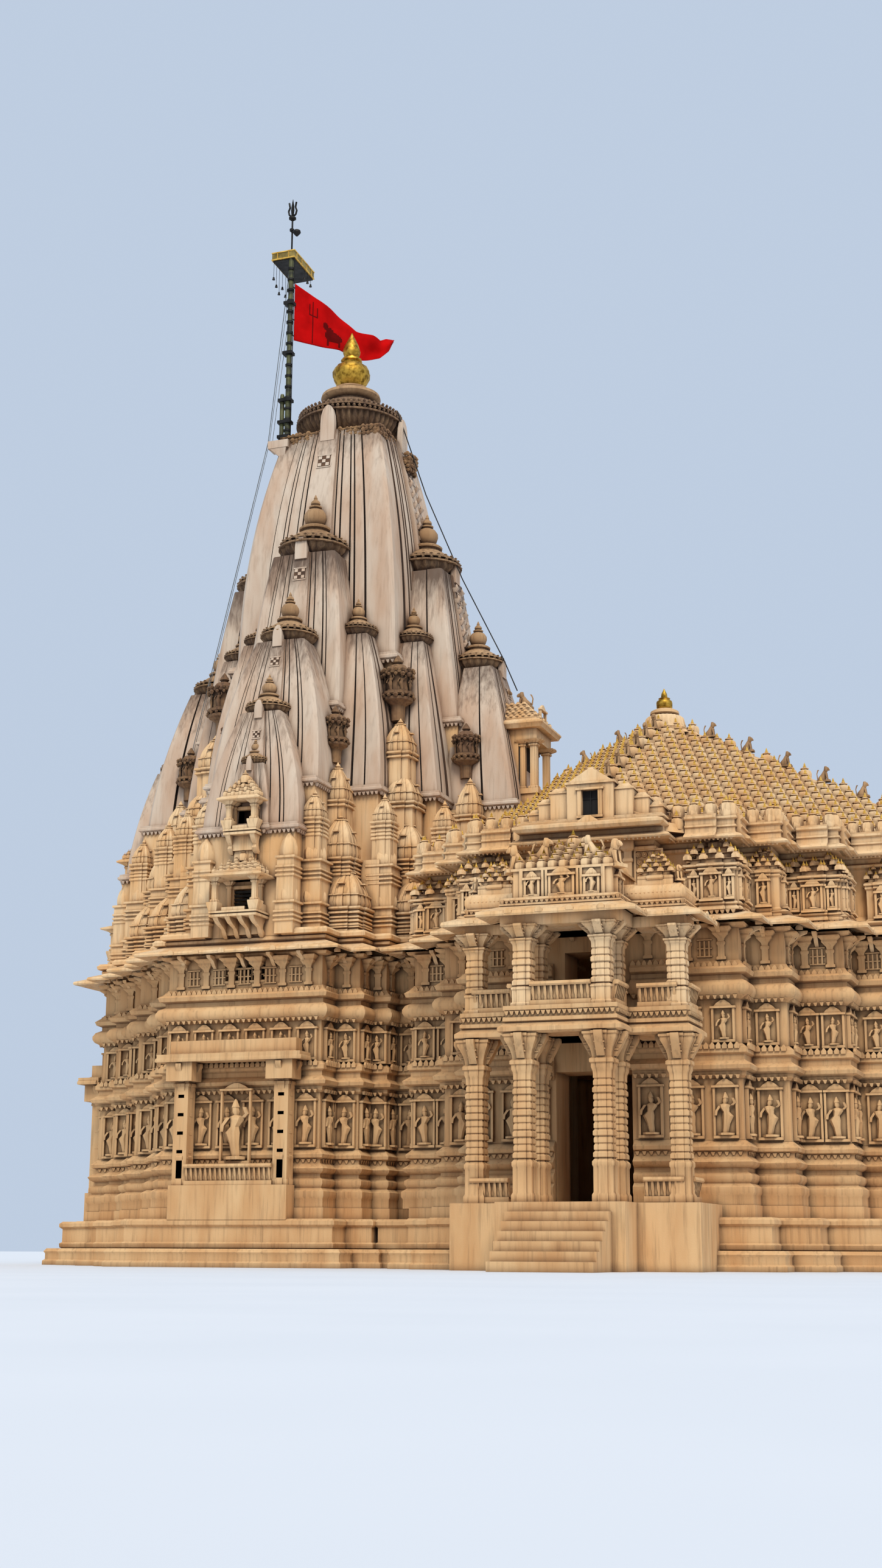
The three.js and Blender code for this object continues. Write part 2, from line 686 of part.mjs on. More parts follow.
function buildHallWalls() {
  const ring = slab(hallPlan, FLOOR + GAP, WALL_TOP, hallInner);
  const whole = ring.add(slab(grown(hallPlan, CORNICE.reach), CORNICE.z0, CORNICE.z1, hallInner));
  const { half, z0, z1 } = UPPER_PORCH_DOOR;
  const lowerDoor = faceBox(HALL_DOOR_HALF, 1, FAR, GROUND, HALL_DOOR_TOP);
  const upperDoor = faceBox(half, 1, FAR, z0, z1);
  const doors = HALL_SIDES.flatMap((side) => [turned(lowerDoor, side), turned(upperDoor, side)]);
  const open = cut(whole, doors);
  const quarters = [
    ["hall_southeast_wall", box(GAP, FAR, -FAR, -GAP, GROUND, FAR)],
    ["hall_northeast_wall", box(GAP, FAR, GAP, FAR, GROUND, FAR)],
    ["hall_northwest_wall", box(-FAR, -GAP, GAP, FAR, GROUND, FAR)],
    ["hall_southwest_wall", box(-FAR, -GAP, -FAR, -GAP, GROUND, FAR)],
  ];
  for (const [name, quarter] of quarters) {
    add(name, largest(besideTower(open.intersect(quarter))), TAN_STONE);
  }
}

// The gallery floor that the upper porch doors open on
function buildHallGallery() {
  const { z0, z1, width } = GALLERY;
  const floor = slab(grown(hallInner, -GAP), z0, z1, grown(hallInner, -width));
  return largest(besideTower(floor));
}

function buildHallEave() {
  return largest(besideTower(eave(hallPlan).subtract(slab(hallInner, GROUND, FAR))));
}

// Turret shrines standing on the eaves of the hall, in front of its upper wall
const TURRETS = [
  { x: 4.65, y: 11.9, half: 0.9, tip: 16.35 },
  { x: 6.2, y: 10.3, half: 0.62, tip: 16.0 },
  { x: 8.2, y: 8.2, half: 0.92, tip: 16.35 },
];

const TURRET_WALL_TOP = 15.3;
const HALL_UPPER_FOOT = WALL_TOP + EAVE.rise + GAP * 2;
const HALL_UPPER_SETBACK = 0.55;

function turret(x, y, half, tip) {
  const top = TURRET_WALL_TOP;
  return squareTower(x, y, [
    [half, HALL_UPPER_FOOT],
    [half, top],
    [half * 1.15, top],
    [half * 0.5, top + 0.65],
    [half * 0.1, tip],
  ]);
}

function buildHallUpperWalls() {
  const wallPlan = grown(hallPlan, -HALL_UPPER_SETBACK);
  const parts = [slab(wallPlan, HALL_UPPER_FOOT, HALL_EAVE_Z, grown(hallInner, -0.3))];
  for (const { x, y, half, tip } of TURRETS) {
    for (const sx of [-1, 1]) {
      for (const sy of [-1, 1]) {
        parts.push(turret(sx * x, sy * y, half, tip));
        if (x !== y) {
          parts.push(turret(sx * y, sy * x, half, tip));
        }
      }
    }
  }
  return largest(besideTower(fuse(parts)));
}

function diamond(reach) {
  return [[0, -reach], [reach, 0], [0, reach], [-reach, 0]];
}

function stepped(base, top, z0, z1, tiers) {
  const levels = [];
  for (let tier = 0; tier < tiers; tier += 1) {
    const reach = base + (top - base) * (tier / tiers);
    const z = z0 + (z1 - z0) * (tier / tiers);
    const next = z0 + (z1 - z0) * ((tier + 1) / tiers);
    levels.push([reach, z], [reach - 0.25, next]);
  }
  return loft(diamond(1), levels.map(([reach, z]) => ({ z, place: (x, y) => [x * reach, y * reach] })));
}

// A square block round the hall's axis, as high as anything
function squareBlock(half) {
  return box(-half, half, -half, half, GROUND, FAR);
}

const gableWindow = faceBox(GABLE_WINDOW.half, GABLE.back - 3.3, FAR, GABLE_WINDOW.z0, GABLE_WINDOW.z1);

function hallRoof(grow) {
  const foot = HALL_EAVE_Z + GAP;
  const { reach, top, tiers, cap, clip } = HALL_ROOF;
  const edge = slab(grown(hallPlan, 0.25 + grow), foot - grow, foot + 0.3 + grow);
  const body = stepped(reach + grow, cap, foot + 0.25, top + grow, tiers);
  return edge.add(body.intersect(squareBlock(clip)));
}

function buildHallRoof() {
  const { reach, top, shell, clip } = HALL_ROOF;
  const inner = reach - shell;
  const places = [[inner, HALL_EAVE_Z - 1], [inner, HALL_EAVE_Z], [0.6, top - 1.2]];
  const levels = places.map(([size, z]) => ({ z, place: (x, y) => [x * size, y * size] }));
  const hollow = loft(diamond(1), levels).intersect(squareBlock(clip - 1.8));
  const windows = HALL_SIDES.map((side) => turned(gableWindow, side));
  return largest(besideTower(cut(hallRoof(0), [hollow, ...windows])));
}

function buildHallFinial() {
  const z = HALL_ROOF.top;
  return atHall(lathe([
    [0, z + GAP],
    [0.8, z + GAP],
    [0.95, z + 0.25],
    [0.7, z + 0.55],
    [0.35, z + 0.65],
    [0.5, z + 0.9],
    [0.42, z + 1.2],
    [0.15, z + 1.45],
    [0, z + 1.95],
  ], 12));
}

// Tiers of a gable: half-width, distance reached, then the levels of the bottom and the top
const GABLE_TIERS = [
  [2.45, GABLE.face, 16.8, 17.25],
  [2.7, GABLE.face + 0.5, 17.15, 17.3],
  [2.3, GABLE.face, 17.2, 17.75],
  [1.75, GABLE.face, 17.6, 18.4],
  [0.75, GABLE.face, 18.3, 18.85],
  [0.35, GABLE.face, 18.7, 19.15],
];

// Blocks on the south face, each from the same distance out to its own
function facade(tiers, near) {
  return tiers.map(([half, reach, z0, z1]) => faceBox(half, near, reach, z0, z1));
}

function buildGable(side) {
  const whole = cut(fuse(facade(GABLE_TIERS, GABLE.back)), [gableWindow, hallRoof(GAP)]);
  return atHall(turned(largest(whole), side));
}

// Porches of the hall, two storeys of columns with a sloping slab over each

const PORCH = { front: 17.6, wing: 15.9, wall: 13.5 + CORNICE.reach + GAP, frontHalf: 1.5, wingHalf: 3.9 };
const PORCH_BASE = { half: 2.4, reach: 18.4, wingHalf: 4.7, wingReach: 16.7 };
const PORCH_STEPS = { count: 6, tread: 0.42, half: 1.9 };
const PORCH_COLUMNS = [
  [-PORCH.frontHalf, PORCH.front],
  [PORCH.frontHalf, PORCH.front],
  [-PORCH.frontHalf, PORCH.wing],
  [PORCH.frontHalf, PORCH.wing],
  [-PORCH.wingHalf, PORCH.wing],
  [PORCH.wingHalf, PORCH.wing],
];

// The slabs and blocks over each storey: half-width, distance reached, then the levels of bottom and top
const LOWER_PORCH_TIERS = [
  [2.35, 18.3, 8.5, 8.8],
  [4.6, 16.6, 8.5, 8.8],
  [2.1, 18.1, 8.7, GALLERY.z1],
  [4.35, 16.4, 8.7, GALLERY.z1],
];
const UPPER_PORCH_TIERS = [
  [2.8, 18.75, 12.75, 13.0],
  [2.4, 18.1, 12.45, 13.4],
  [4.85, 17.0, 12.45, 12.75],
  [4.4, 16.3, 12.7, 13.4],
  [2.0, 17.8, 13.3, 14.7],
  [3.4, 15.9, 13.3, 14.0],
  [1.4, 17.2, 14.6, 15.4],
  [0.5, 16.6, 15.3, 16.1],
];

function column(x, y, foot, top) {
  return squareTower(x, y, [[0.4, foot], [0.34, top - 1.1], [0.75, top]]);
}

function porchStorey(foot, top) {
  return PORCH_COLUMNS.map(([x, y]) => column(x, -y, foot, top));
}

function buildPorchBase(side) {
  const { half, reach, wingHalf, wingReach } = PORCH_BASE;
  const front = faceBox(half, wingReach - 1, reach, GROUND, FLOOR);
  const wings = faceBox(wingHalf, 12.9, wingReach, GROUND, FLOOR);
  const plinth = moulding(hallPlan, PLINTH_BANDS.map(([out, z0, z1]) => [out + GAP, z0 - 1, z1 + GAP]));
  const treads = [];
  for (let step = 1; step <= PORCH_STEPS.count; step += 1) {
    const top = FLOOR - (step * FLOOR) / (PORCH_STEPS.count + 1);
    const edge = reach + step * PORCH_STEPS.tread;
    treads.push(faceBox(PORCH_STEPS.half, reach - 0.2, edge, GROUND, top));
  }
  return atHall(turned(largest(fuse([front, wings, ...treads]).subtract(plinth)), side));
}

function buildPorchLower(side) {
  const slabs = facade(LOWER_PORCH_TIERS, PORCH.wall);
  return atHall(turned(fuse([...porchStorey(FLOOR + GAP, 8.55), ...slabs]), side));
}

function buildPorchUpper(side) {
  const blocks = facade(UPPER_PORCH_TIERS, PORCH.wall + 0.9);
  return atHall(turned(fuse([...porchStorey(GALLERY.z1 + GAP, 12.5), ...blocks]), side));
}

// Flagstaff

const STAFF = { x: -2.42, y: -2.5, radius: 0.15, top: 50.75 };
const PLATE = { x0: -3.46, x1: -2.2, y0: -2.65, y1: -0.1, z0: 50.75, z1: 51.05 };

const TRIDENT = { lamp: 52.1, fork: 53.1, prong: 53.75, tip: 54.1, spread: 0.22 };

function rod(from, to, radius, sides) {
  const start = new THREE.Vector3(...from);
  const end = new THREE.Vector3(...to);
  const length = start.distanceTo(end);
  const geometry = new THREE.CylinderGeometry(radius, radius, length, sides);
  geometry.rotateX(Math.PI / 2);
  const direction = end.clone().sub(start).normalize();
  const turn = new THREE.Quaternion().setFromUnitVectors(new THREE.Vector3(0, 0, 1), direction);
  geometry.applyQuaternion(turn);
  const middle = start.add(end).multiplyScalar(0.5);
  geometry.translate(middle.x, middle.y, middle.z);
  return toSolid(geometry);
}

const FLAG = { turn: 60, start: 0.1, thickness: 0.05 };
const FLAG_TIES = [46.4, 47.3, 48.2, 49.1];
const FLAG_OUTLINE = [
  [0, 49.35],
  [0, 46.15],
  [2.9, 46.5],
  [4.4, 46.45],
  [6.5, 48.25],
  [5.2, 48.05],
  [3.7, 48.15],
  [1.6, 48.9],
];

// Turns a solid drawn along X about the origin into the line the flag flies on
function alongFlag(solid) {
  return solid.rotate([0, 0, FLAG.turn]).translate([STAFF.x, STAFF.y, 0]);
}

function buildStaff() {
  const { x, y, radius, top } = STAFF;
  const foot = SHOULDER + GAP;
  const parts = [rod([x, y, foot], [x, y, top - GAP], radius, 8)];
  for (let ring = 1; ring < 5; ring += 1) {
    const z = foot + ring * 2.1;
    parts.push(rod([x, y, z], [x, y, z + 0.12], radius * 1.4, 6));
  }
  parts.push(rod([x - 0.32, y, foot], [x - 0.32, y, foot + 2.4], 0.11, 8));
  parts.push(box(x - 0.4, x, y - 0.05, y + 0.05, foot + 0.8, foot + 0.95));
  parts.push(box(x - 0.4, x, y - 0.05, y + 0.05, foot + 2.0, foot + 2.15));
  for (const z of FLAG_TIES) {
    parts.push(alongFlag(box(0, radius + FLAG.start - GAP, -FLAG.thickness, 0, z, z + 0.06)));
  }
  return fuse(parts);
}

function buildStaffHead() {
  const { x, y } = STAFF;
  const { x0, x1, y0, y1, z0, z1 } = PLATE;
  const { fork, prong, tip, spread, lamp } = TRIDENT;
  const parts = [
    box(x0, x1, y0, y1, z0, z1),
    rod([x, y, z1 - 0.05], [x, y, tip], 0.05, 6),
    box(x - spread, x + spread, y - 0.04, y + 0.04, fork - 0.05, fork + 0.05),
    rod([x, y - 0.03, lamp], [x + 0.3, y - 0.1, lamp], 0.04, 6),
    rod([x + 0.25, y - 0.1, lamp - 0.1], [x + 0.25, y - 0.1, lamp + 0.2], 0.12, 8),
  ];
  for (const side of [-1, 1]) {
    parts.push(rod([x + side * (spread - 0.02), y, fork], [x + side * (spread - 0.02), y, prong], 0.04, 6));
  }
  return fuse(parts);
}

function buildFlag() {
  const points = FLAG_OUTLINE.map(([along, z]) => new THREE.Vector2(along + STAFF.radius + FLAG.start, z));
  const outline = new THREE.Shape(points);
  const geometry = new THREE.ExtrudeGeometry(outline, { depth: FLAG.thickness, bevelEnabled: false });
  geometry.rotateX(Math.PI / 2);
  return alongFlag(toSolid(geometry));
}

// Wires: each is a chain of straight spans, trimmed where it meets what it is tied to
const WIRE_RADIUS = 0.02;
const WIRE_SIDES = 6;

function wire(points) {
  return fuse(points.slice(1).map((point, index) => rod(points[index], point, WIRE_RADIUS, WIRE_SIDES)));
}

// The guy wire runs from the staff over the edge of the corbel to the tip of a shrine on the west side
function buildGuyWire() {
  const { x, y, radius } = STAFF;
  const edge = [-FLAG_CORBEL.reach - WIRE_RADIUS - GAP, -2.8, FLAG_CORBEL.z1];
  const last = BESIDE_STACK.at(-1);
  const foot = [-last.y, -last.x, last.tip];
  const pole = rod([x, y, 48], [x, y, 51], radius + GAP * 1.1, 8);
  const tip = box(foot[0] - 1, foot[0] + 1, foot[1] - 1, foot[1] + 1, last.tip - 1, last.tip + GAP);
  return cut(wire([[x, y, 49.8], edge, foot]), [pole, tip]);
}

// The east wire hangs from the rim of the ribbed ring to the lion on the antefix, with a slight sag
const EAST_WIRE = [[2.66, 42.4], [4.25, 37.6], [6.2, 32.9], [8.3, 28.6], [9.0, LION.top]];
const EAST_WIRE_Y = -0.2;

function buildEastWire() {
  const rim = lathe(RING_PROFILE.map(([radius, z]) => [radius === 0 ? 0 : radius + GAP, z]), RING_SIDES);
  const lion = box(LION.x0, LION.x1, -LION.half, LION.half, LION.top - 1, LION.top + GAP);
  return cut(wire(EAST_WIRE.map(([x, z]) => [x, EAST_WIRE_Y, z])), [rim, lion]);
}

// Assembly

add("tower_plinth", buildTowerPlinth(), TAN_STONE);
buildTowerWalls();
add("tower_eave", buildTowerEave(), LIGHT_STONE);
add("tower_second_storey", buildSecondStorey(), LIGHT_STONE);
add("tower_upper_walls", buildUpperWalls(), LIGHT_STONE);
buildFaceSpires();
buildCorners();
add("main_spire", buildMainSpire(), SPIRE_PLASTER);
add("main_ribbed_ring", buildMainRing(), TAN_STONE);
add("main_finial", buildMainFinial(), GOLD, 0.35, 1);
buildBalconies();
for (const side of BALCONY_SIDES) {
  add(`${SIDES[side]}_tower_porch`, buildTowerPorch(side), TAN_STONE);
}
add("antefix", buildAntefix(), LIGHT_STONE);
add("hall_plinth", buildHallPlinth(), TAN_STONE);
buildHallWalls();
add("hall_gallery", buildHallGallery(), TAN_STONE);
add("hall_eave", buildHallEave(), LIGHT_STONE);
add("hall_upper_walls", buildHallUpperWalls(), LIGHT_STONE);
add("hall_roof", buildHallRoof(), LIGHT_STONE);
add("hall_finial", buildHallFinial(), GOLD, 0.35, 1);
HALL_SIDES.forEach((side) => {
  const name = SIDES[side];
  add(`${name}_gable`, buildGable(side), LIGHT_STONE);
  add(`${name}_porch_base`, buildPorchBase(side), TAN_STONE);
  add(`${name}_porch_columns`, buildPorchLower(side), TAN_STONE);
  add(`${name}_porch_upper`, buildPorchUpper(side), LIGHT_STONE);
});
add("flagstaff", buildStaff(), DARK_BRASS, 0.5, 0.6);
add("flagstaff_head", buildStaffHead(), DARK_BRASS, 0.5, 0.6);
add("flag", buildFlag(), FLAG_RED, 0.8);
add("guy_wire", buildGuyWire(), WIRE, 0.5, 0.8);
add("east_wire", buildEastWire(), WIRE, 0.5, 0.8);

export default temple;
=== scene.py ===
from dataclasses import dataclass, replace
from math import atan, atan2, cos, hypot, pi, radians, sin
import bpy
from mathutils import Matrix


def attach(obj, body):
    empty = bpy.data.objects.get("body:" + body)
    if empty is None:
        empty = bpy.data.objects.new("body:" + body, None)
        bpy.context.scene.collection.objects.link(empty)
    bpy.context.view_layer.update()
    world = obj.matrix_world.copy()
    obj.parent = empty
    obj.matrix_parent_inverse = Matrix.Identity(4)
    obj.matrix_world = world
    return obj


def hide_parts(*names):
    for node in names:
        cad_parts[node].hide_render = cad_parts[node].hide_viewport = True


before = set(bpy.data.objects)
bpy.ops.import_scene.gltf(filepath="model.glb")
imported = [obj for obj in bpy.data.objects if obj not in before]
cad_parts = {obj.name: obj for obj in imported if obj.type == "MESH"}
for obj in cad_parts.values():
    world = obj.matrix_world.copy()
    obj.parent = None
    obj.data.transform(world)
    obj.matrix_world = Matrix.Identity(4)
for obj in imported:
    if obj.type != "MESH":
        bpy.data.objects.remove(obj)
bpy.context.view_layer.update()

from types import SimpleNamespace as Spire

import bpy
import numpy as np
from mathutils import Matrix, Vector

bl_info = {
    "name": "Sandstone temple",
    "version": (1, 0, 0),
    "blender": (4, 5, 0),
    "location": "View3D > Sidebar > Temple",
    "description": "Adds the carving, roofs, porches and finishes to a temple's solids",
    "category": "Object",
}

# The model is half the size of the temple. Every size below is in metres of the full-size temple.
HALF_SIZE = 0.5

# Levels
FLOOR = 2.4
WALL_TOP = 13.0
DECK = 13.8
SPIRE_BASE = 27.8
SHOULDER = 40.6
HALL_EAVE = 16.65
GALLERY_TOP = 9.4

# Plans, one eighth of each: distance along the face, then distance from the axis
TOWER_PLAN = [(3.6, 10.7), (3.6, 9.3), (4.75, 9.3), (4.75, 8.1), (5.5, 8.1), (5.5, 7.0), (7.0, 7.0)]
HALL_PLAN = [(2.9, 13.5), (2.9, 12.4), (5.5, 12.4), (5.5, 10.8), (7.0, 10.8), (7.0, 9.0), (9.0, 9.0)]
HALL_X = 16.15
JOINT_X = 7.1
SIDES = ("south", "east", "north", "west")
CORNERS = ("southeast", "northeast", "northwest", "southwest")
HALL_SIDES = (0, 1, 2)
BALCONY_SIDES = (0, 2, 3)

# Half-spires: distance of the axis from the tower's, levels, half-widths, half-depths,
# radius of the ribbed ring
HALF_SPIRES = [
    Spire(
        axis=4.25, base=24.95, shoulder=33.1, tip=36.6, half=2.35, top=1.6, depth=2.4, depth_top=1.35,
        ring=1.55),
    Spire(
        axis=6.95, base=20.7, shoulder=28.0, tip=30.7, half=2.6, top=1.2, depth=2.55, depth_top=1.1,
        ring=1.2),
    Spire(
        axis=9.0, base=18.4, shoulder=24.1, tip=26.1, half=2.3, top=0.95, depth=1.75, depth_top=0.9,
        ring=0.95)]
SPIRELET = Spire(
    axis=10.25, base=18.4, shoulder=21.5, tip=22.8, half=1.0, top=0.6, depth=0.75, depth_top=0.5, ring=0.57)
CORNER_SPIRE = Spire(
    base=20.9, shoulder=28.9, tip=30.9, half=1.95, top=0.75, depth=1.95, depth_top=0.75, ring=0.66)
CORNER_SPIRE_AT = [(2.45, 4.5), (4.5, 2.45)]
MAIN_SPIRE = Spire(base=SPIRE_BASE, shoulder=SHOULDER, half=4.1, top=2.57, depth=4.1, depth_top=2.57)
WIDTH_CURVE, DEPTH_CURVE, MAIN_CURVE = 2.0, 1.3, 2.2
# How far a spire's middle rib stands out, as a share of the spire's half-depth
RIB_OUT = 1.1
# How far below a half-spire's shoulder its soot starts, and how thick it is at the shoulder
SOOT_REACH, SOOT_MOST = 3.4, 1.3

# Shrines in front of the corners: x, y, half-width, level of the cornice, level of the tip
CORNER_STACK = [
    (6.0, 6.0, 1.0, 15.2, 17.0), (5.45, 5.45, 0.9, 18.2, 19.7), (5.05, 5.05, 0.8, 20.9, 22.1),
    (4.75, 4.75, 0.7, 23.4, 24.7)]
BESIDE_STACK = [(3.7, 8.3, 0.95, 15.3, 17.1), (3.2, 7.95, 0.8, 18.0, 19.6), (2.8, 7.5, 0.62, 20.7, 22.1)]
COLUMN_SHRINES = [(4.9, 7.0, 0.5, 19.6, 20.6), (2.6, 9.55, 0.5, 19.4, 20.4)]
# Slim stacks: x, y, half-width, levels of the tips
SLIM_STACKS = [(4.9, 7.0, 0.62, (16.5, 18.4)), (2.6, 9.55, 0.62, (16.4, 18.3))]
# Figured heads of the stacks: x, y, level of the foot, size
CORNER_HEAD = (4.5, 4.5, 25.35, 1.2)
BESIDE_HEAD = (2.5, 7.2, 22.75, 1.0)

# The flagstaff's place and top, and the way that the flag blows, turned from east to north
STAFF = (-2.42, -2.5)
STAFF_TOP = 50.75
FLAG_TURN = radians(60)
FLAG_LENGTH = 6.5

# The camera: place in metres of the model, turns in radians, lens and sensor in millimetres
CAMERA_AT = (17.86, -42.79, 0.327)
CAMERA_YAW, CAMERA_PITCH, CAMERA_ROLL = 0.3441, 0.2374, 0.0047
CAMERA_LENS, CAMERA_SENSOR = 44.4, 36


# Plans and paths

def four_sided(eighth):
    """The whole plan from one eighth of it, from the south side round to the east."""
    first = [(along, -out) for along, out in eighth]
    second = [(out, -along) for along, out in reversed(eighth) if along != out]
    points = []
    for turns in range(4):
        c, s = (1, 0, -1, 0)[turns], (0, 1, 0, -1)[turns]
        points += [(x * c - y * s, x * s + y * c) for x, y in first + second]
    return points


def circle(count, dent=0.0):
    """A round plan; every second point is dented inwards."""
    points = []
    for i in range(count):
        turn, radius = 2 * pi * i / count, 1 - dent * (i % 2)
        points.append((cos(turn) * radius, sin(turn) * radius))
    return points


def turns_of(count):
    """Turns spaced evenly round a circle."""
    return [2 * pi * i / count for i in range(count)]


BOTH = (-1, 1)
SQUARE = [(-1, -1), (1, -1), (1, 1), (-1, 1)]
STEPPED = four_sided([(0.42, 1), (0.42, 0.9), (0.9, 0.9)])


def shifted(path, dx):
    """The path moved along the temple's long axis."""
    return [(x + dx, y) for x, y in path]


def mirrored(path):
    """The path on the north side, still running anticlockwise."""
    return [(x, -y) for x, y in reversed(path)]


def edges(path, closed=False):
    """Each edge of a path: its ends, the direction it faces and its length."""
    count = len(path) if closed else len(path) - 1
    for i in range(count):
        (ax, ay), (bx, by) = path[i], path[(i + 1) % len(path)]
        length = hypot(bx - ax, by - ay)
        yield (ax, ay), (bx, by), ((by - ay) / length, (ax - bx) / length), length


def place(x=0.0, y=0.0, z=0.0, turn=0.0, size=1.0):
    """A place for a copy: where it stands, how far it is turned about the vertical and its size."""
    sx, sy, sz = size if isinstance(size, tuple) else (size, size, size)
    return Matrix.Translation((x, y, z)) @ Matrix.Rotation(turn, 4, "Z") @ Matrix.Diagonal((sx, sy, sz, 1))


def facing(normal):
    """The turn that makes a form modelled facing south face along the normal."""
    return atan2(normal[1], normal[0]) + pi / 2


def along(path, pitch, out, z, closed=False, size=1.0, margin=0.0):
    """Places side by side along a path, facing outwards."""
    places = []
    for (ax, ay), (bx, by), (nx, ny), length in edges(path, closed):
        room = length - 2 * margin
        if room < pitch * 0.5:
            continue
        count = max(1, round(room / pitch))
        for i in range(count):
            share = (margin + room * (i + 0.5) / count) / length
            x, y = ax + (bx - ax) * share + nx * out, ay + (by - ay) * share + ny * out
            places.append(place(x, y, z, facing((nx, ny)), size))
    return places


# Stock: points and faces of a modelled form, kept to be copied into pieces

@dataclass
class Stock:
    """A form: its points and their soot, and its faces with their slots and smoothness."""
    points: np.ndarray
    loops: np.ndarray
    sizes: np.ndarray
    slots: np.ndarray
    smooth: np.ndarray
    weather: np.ndarray

    def on(self, slot):
        """The same form with another material slot."""
        return replace(self, slots=np.full(len(self.sizes), slot))


def take(made, smooth=False):
    """Keeps a modelled object's form as stock and removes the object."""
    mesh = made.data
    points = np.empty(len(mesh.vertices) * 3)
    mesh.vertices.foreach_get("co", points)
    loops = np.empty(len(mesh.loops), dtype=np.int64)
    mesh.loops.foreach_get("vertex_index", loops)
    sizes = np.empty(len(mesh.polygons), dtype=np.int64)
    mesh.polygons.foreach_get("loop_total", sizes)
    world = np.array(made.matrix_world)
    points = points.reshape(-1, 3) @ world[:3, :3].T + world[:3, 3]
    bpy.data.objects.remove(made)
    bpy.data.meshes.remove(mesh)
    return Stock(
        points, loops, sizes, np.zeros(len(sizes), dtype=np.int64), np.full(len(sizes), smooth),
        np.zeros(len(points)))


def joined(*stocks):
    offsets = np.cumsum([0] + [len(s.points) for s in stocks[:-1]])
    together = {key: np.concatenate([getattr(s, key) for s in stocks]) for key in Stock.__annotations__}
    together["loops"] = np.concatenate([s.loops + o for s, o in zip(stocks, offsets)])
    return Stock(**together)


def copies(stock, places):
    """One stock holding a copy at each place."""
    turns = np.array([np.array(p) for p in places])
    n, k = len(stock.points), len(places)
    points = np.einsum("kij,nj->kni", turns[:, :3, :3], stock.points) + turns[:, None, :3, 3]
    loops = stock.loops[None, :] + (np.arange(k) * n)[:, None]
    return Stock(
        points.reshape(-1, 3), loops.reshape(-1), np.tile(stock.sizes, k), np.tile(stock.slots, k),
        np.tile(stock.smooth, k), np.tile(stock.weather, k))


def moved(stock, *spot):
    """The form at one place, which is given as for place."""
    return copies(stock, [place(*spot)])


def on_sides(stock, sides=(0, 1, 2, 3)):
    """Copies turned from the south to the given sides about the tower's axis."""
    return copies(stock, [place(0, 0, 0, side * pi / 2) for side in sides])


def piece(name, stock, finishes, replaced=()):
    """Makes an object of the model from stock: it rides on the body and stands for its nodes."""
    mesh = bpy.data.meshes.new(name)
    mesh.vertices.add(len(stock.points))
    mesh.vertices.foreach_set("co", (stock.points * HALF_SIZE).astype(np.float32).reshape(-1))
    mesh.loops.add(len(stock.loops))
    mesh.loops.foreach_set("vertex_index", stock.loops.astype(np.int32))
    mesh.polygons.add(len(stock.sizes))
    mesh.polygons.foreach_set(
        "loop_start", np.concatenate([[0], np.cumsum(stock.sizes)[:-1]]).astype(np.int32))
    mesh.polygons.foreach_set("material_index", stock.slots.astype(np.int32))
    for finish in finishes.split():
        mesh.materials.append(FINISH[finish])
    weather = mesh.attributes.new("weather", "FLOAT", "POINT")
    weather.data.foreach_set("value", stock.weather.astype(np.float32))
    mesh.update(calc_edges=True)
    made = bpy.data.objects.new(name, mesh)
    bpy.context.scene.collection.objects.link(made)
    bpy.ops.object.select_all(action="DESELECT")
    made.select_set(True)
    bpy.context.view_layer.objects.active = made
    bpy.ops.object.shade_smooth_by_angle(angle=radians(38))
    made.select_set(False)
    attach(made, "root")
    if replaced:
        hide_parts(*replaced)
    return made


def cut(stock, cuts):
    """The stock after boolean cuts, each the kind of cut and the form that cuts."""
    made = piece("blank", stock, "")
    for operation, tool in cuts:
        other = piece("cutter", tool, "")
        bpy.context.view_layer.objects.active = made
        boolean = made.modifiers.new("cut", "BOOLEAN")
        boolean.operation, boolean.object, boolean.solver = operation, other, "EXACT"
        bpy.ops.object.modifier_apply(modifier=boolean.name)
        bpy.data.objects.remove(other)
    result = take(made)
    result.points /= HALF_SIZE
    return result


# Forms

def form(plan, levels, smooth=False):
    """A closed form: the plan extruded upwards and scaled, level by level.

    A level is its scale along x and y, its height and, where it leans, how far it is moved."""
    bpy.ops.object.select_all(action="DESELECT")
    bpy.ops.mesh.primitive_circle_add(vertices=len(plan), radius=1, fill_type="NGON")
    made = bpy.context.object
    sx, sy, z, mx, my = (*levels[0], 0, 0)[:5]
    for vertex, (x, y) in zip(made.data.vertices, plan):
        vertex.co = (x * sx + mx, y * sy + my, z)
    bpy.ops.object.mode_set(mode="EDIT")
    bpy.ops.mesh.select_all(action="SELECT")
    for level in levels[1:]:
        tx, ty, tz, nx, ny = (*level, 0, 0)[:5]
        bpy.ops.mesh.extrude_region_move(TRANSFORM_OT_translate={"value": (nx - mx, ny - my, tz - z)})
        bpy.ops.transform.resize(value=(tx / sx, ty / sy, 1), center_override=(nx, ny, tz))
        sx, sy, z, mx, my = tx, ty, tz, nx, ny
    bpy.ops.mesh.select_all(action="SELECT")
    bpy.ops.mesh.normals_make_consistent(inside=False)
    bpy.ops.object.mode_set(mode="OBJECT")
    return take(made, smooth)


def stack(levels):
    """A form of square plan."""
    return form(SQUARE, levels)


def even(shares, size=1.0):
    """Levels that are as deep as they are wide, from their widths and heights."""
    return [(share * size, share * size, z) for share, z in shares]


def turning(profile, count, dent=0.0):
    """A round form from its profile of radius and height."""
    return form(circle(count, dent), even(profile), smooth=True)


def unit_block():
    """A block one metre each way, standing on the middle of its underside."""
    bpy.ops.object.select_all(action="DESELECT")
    bpy.ops.mesh.primitive_cube_add(size=1, location=(0, 0, 0.5))
    return take(bpy.context.object)


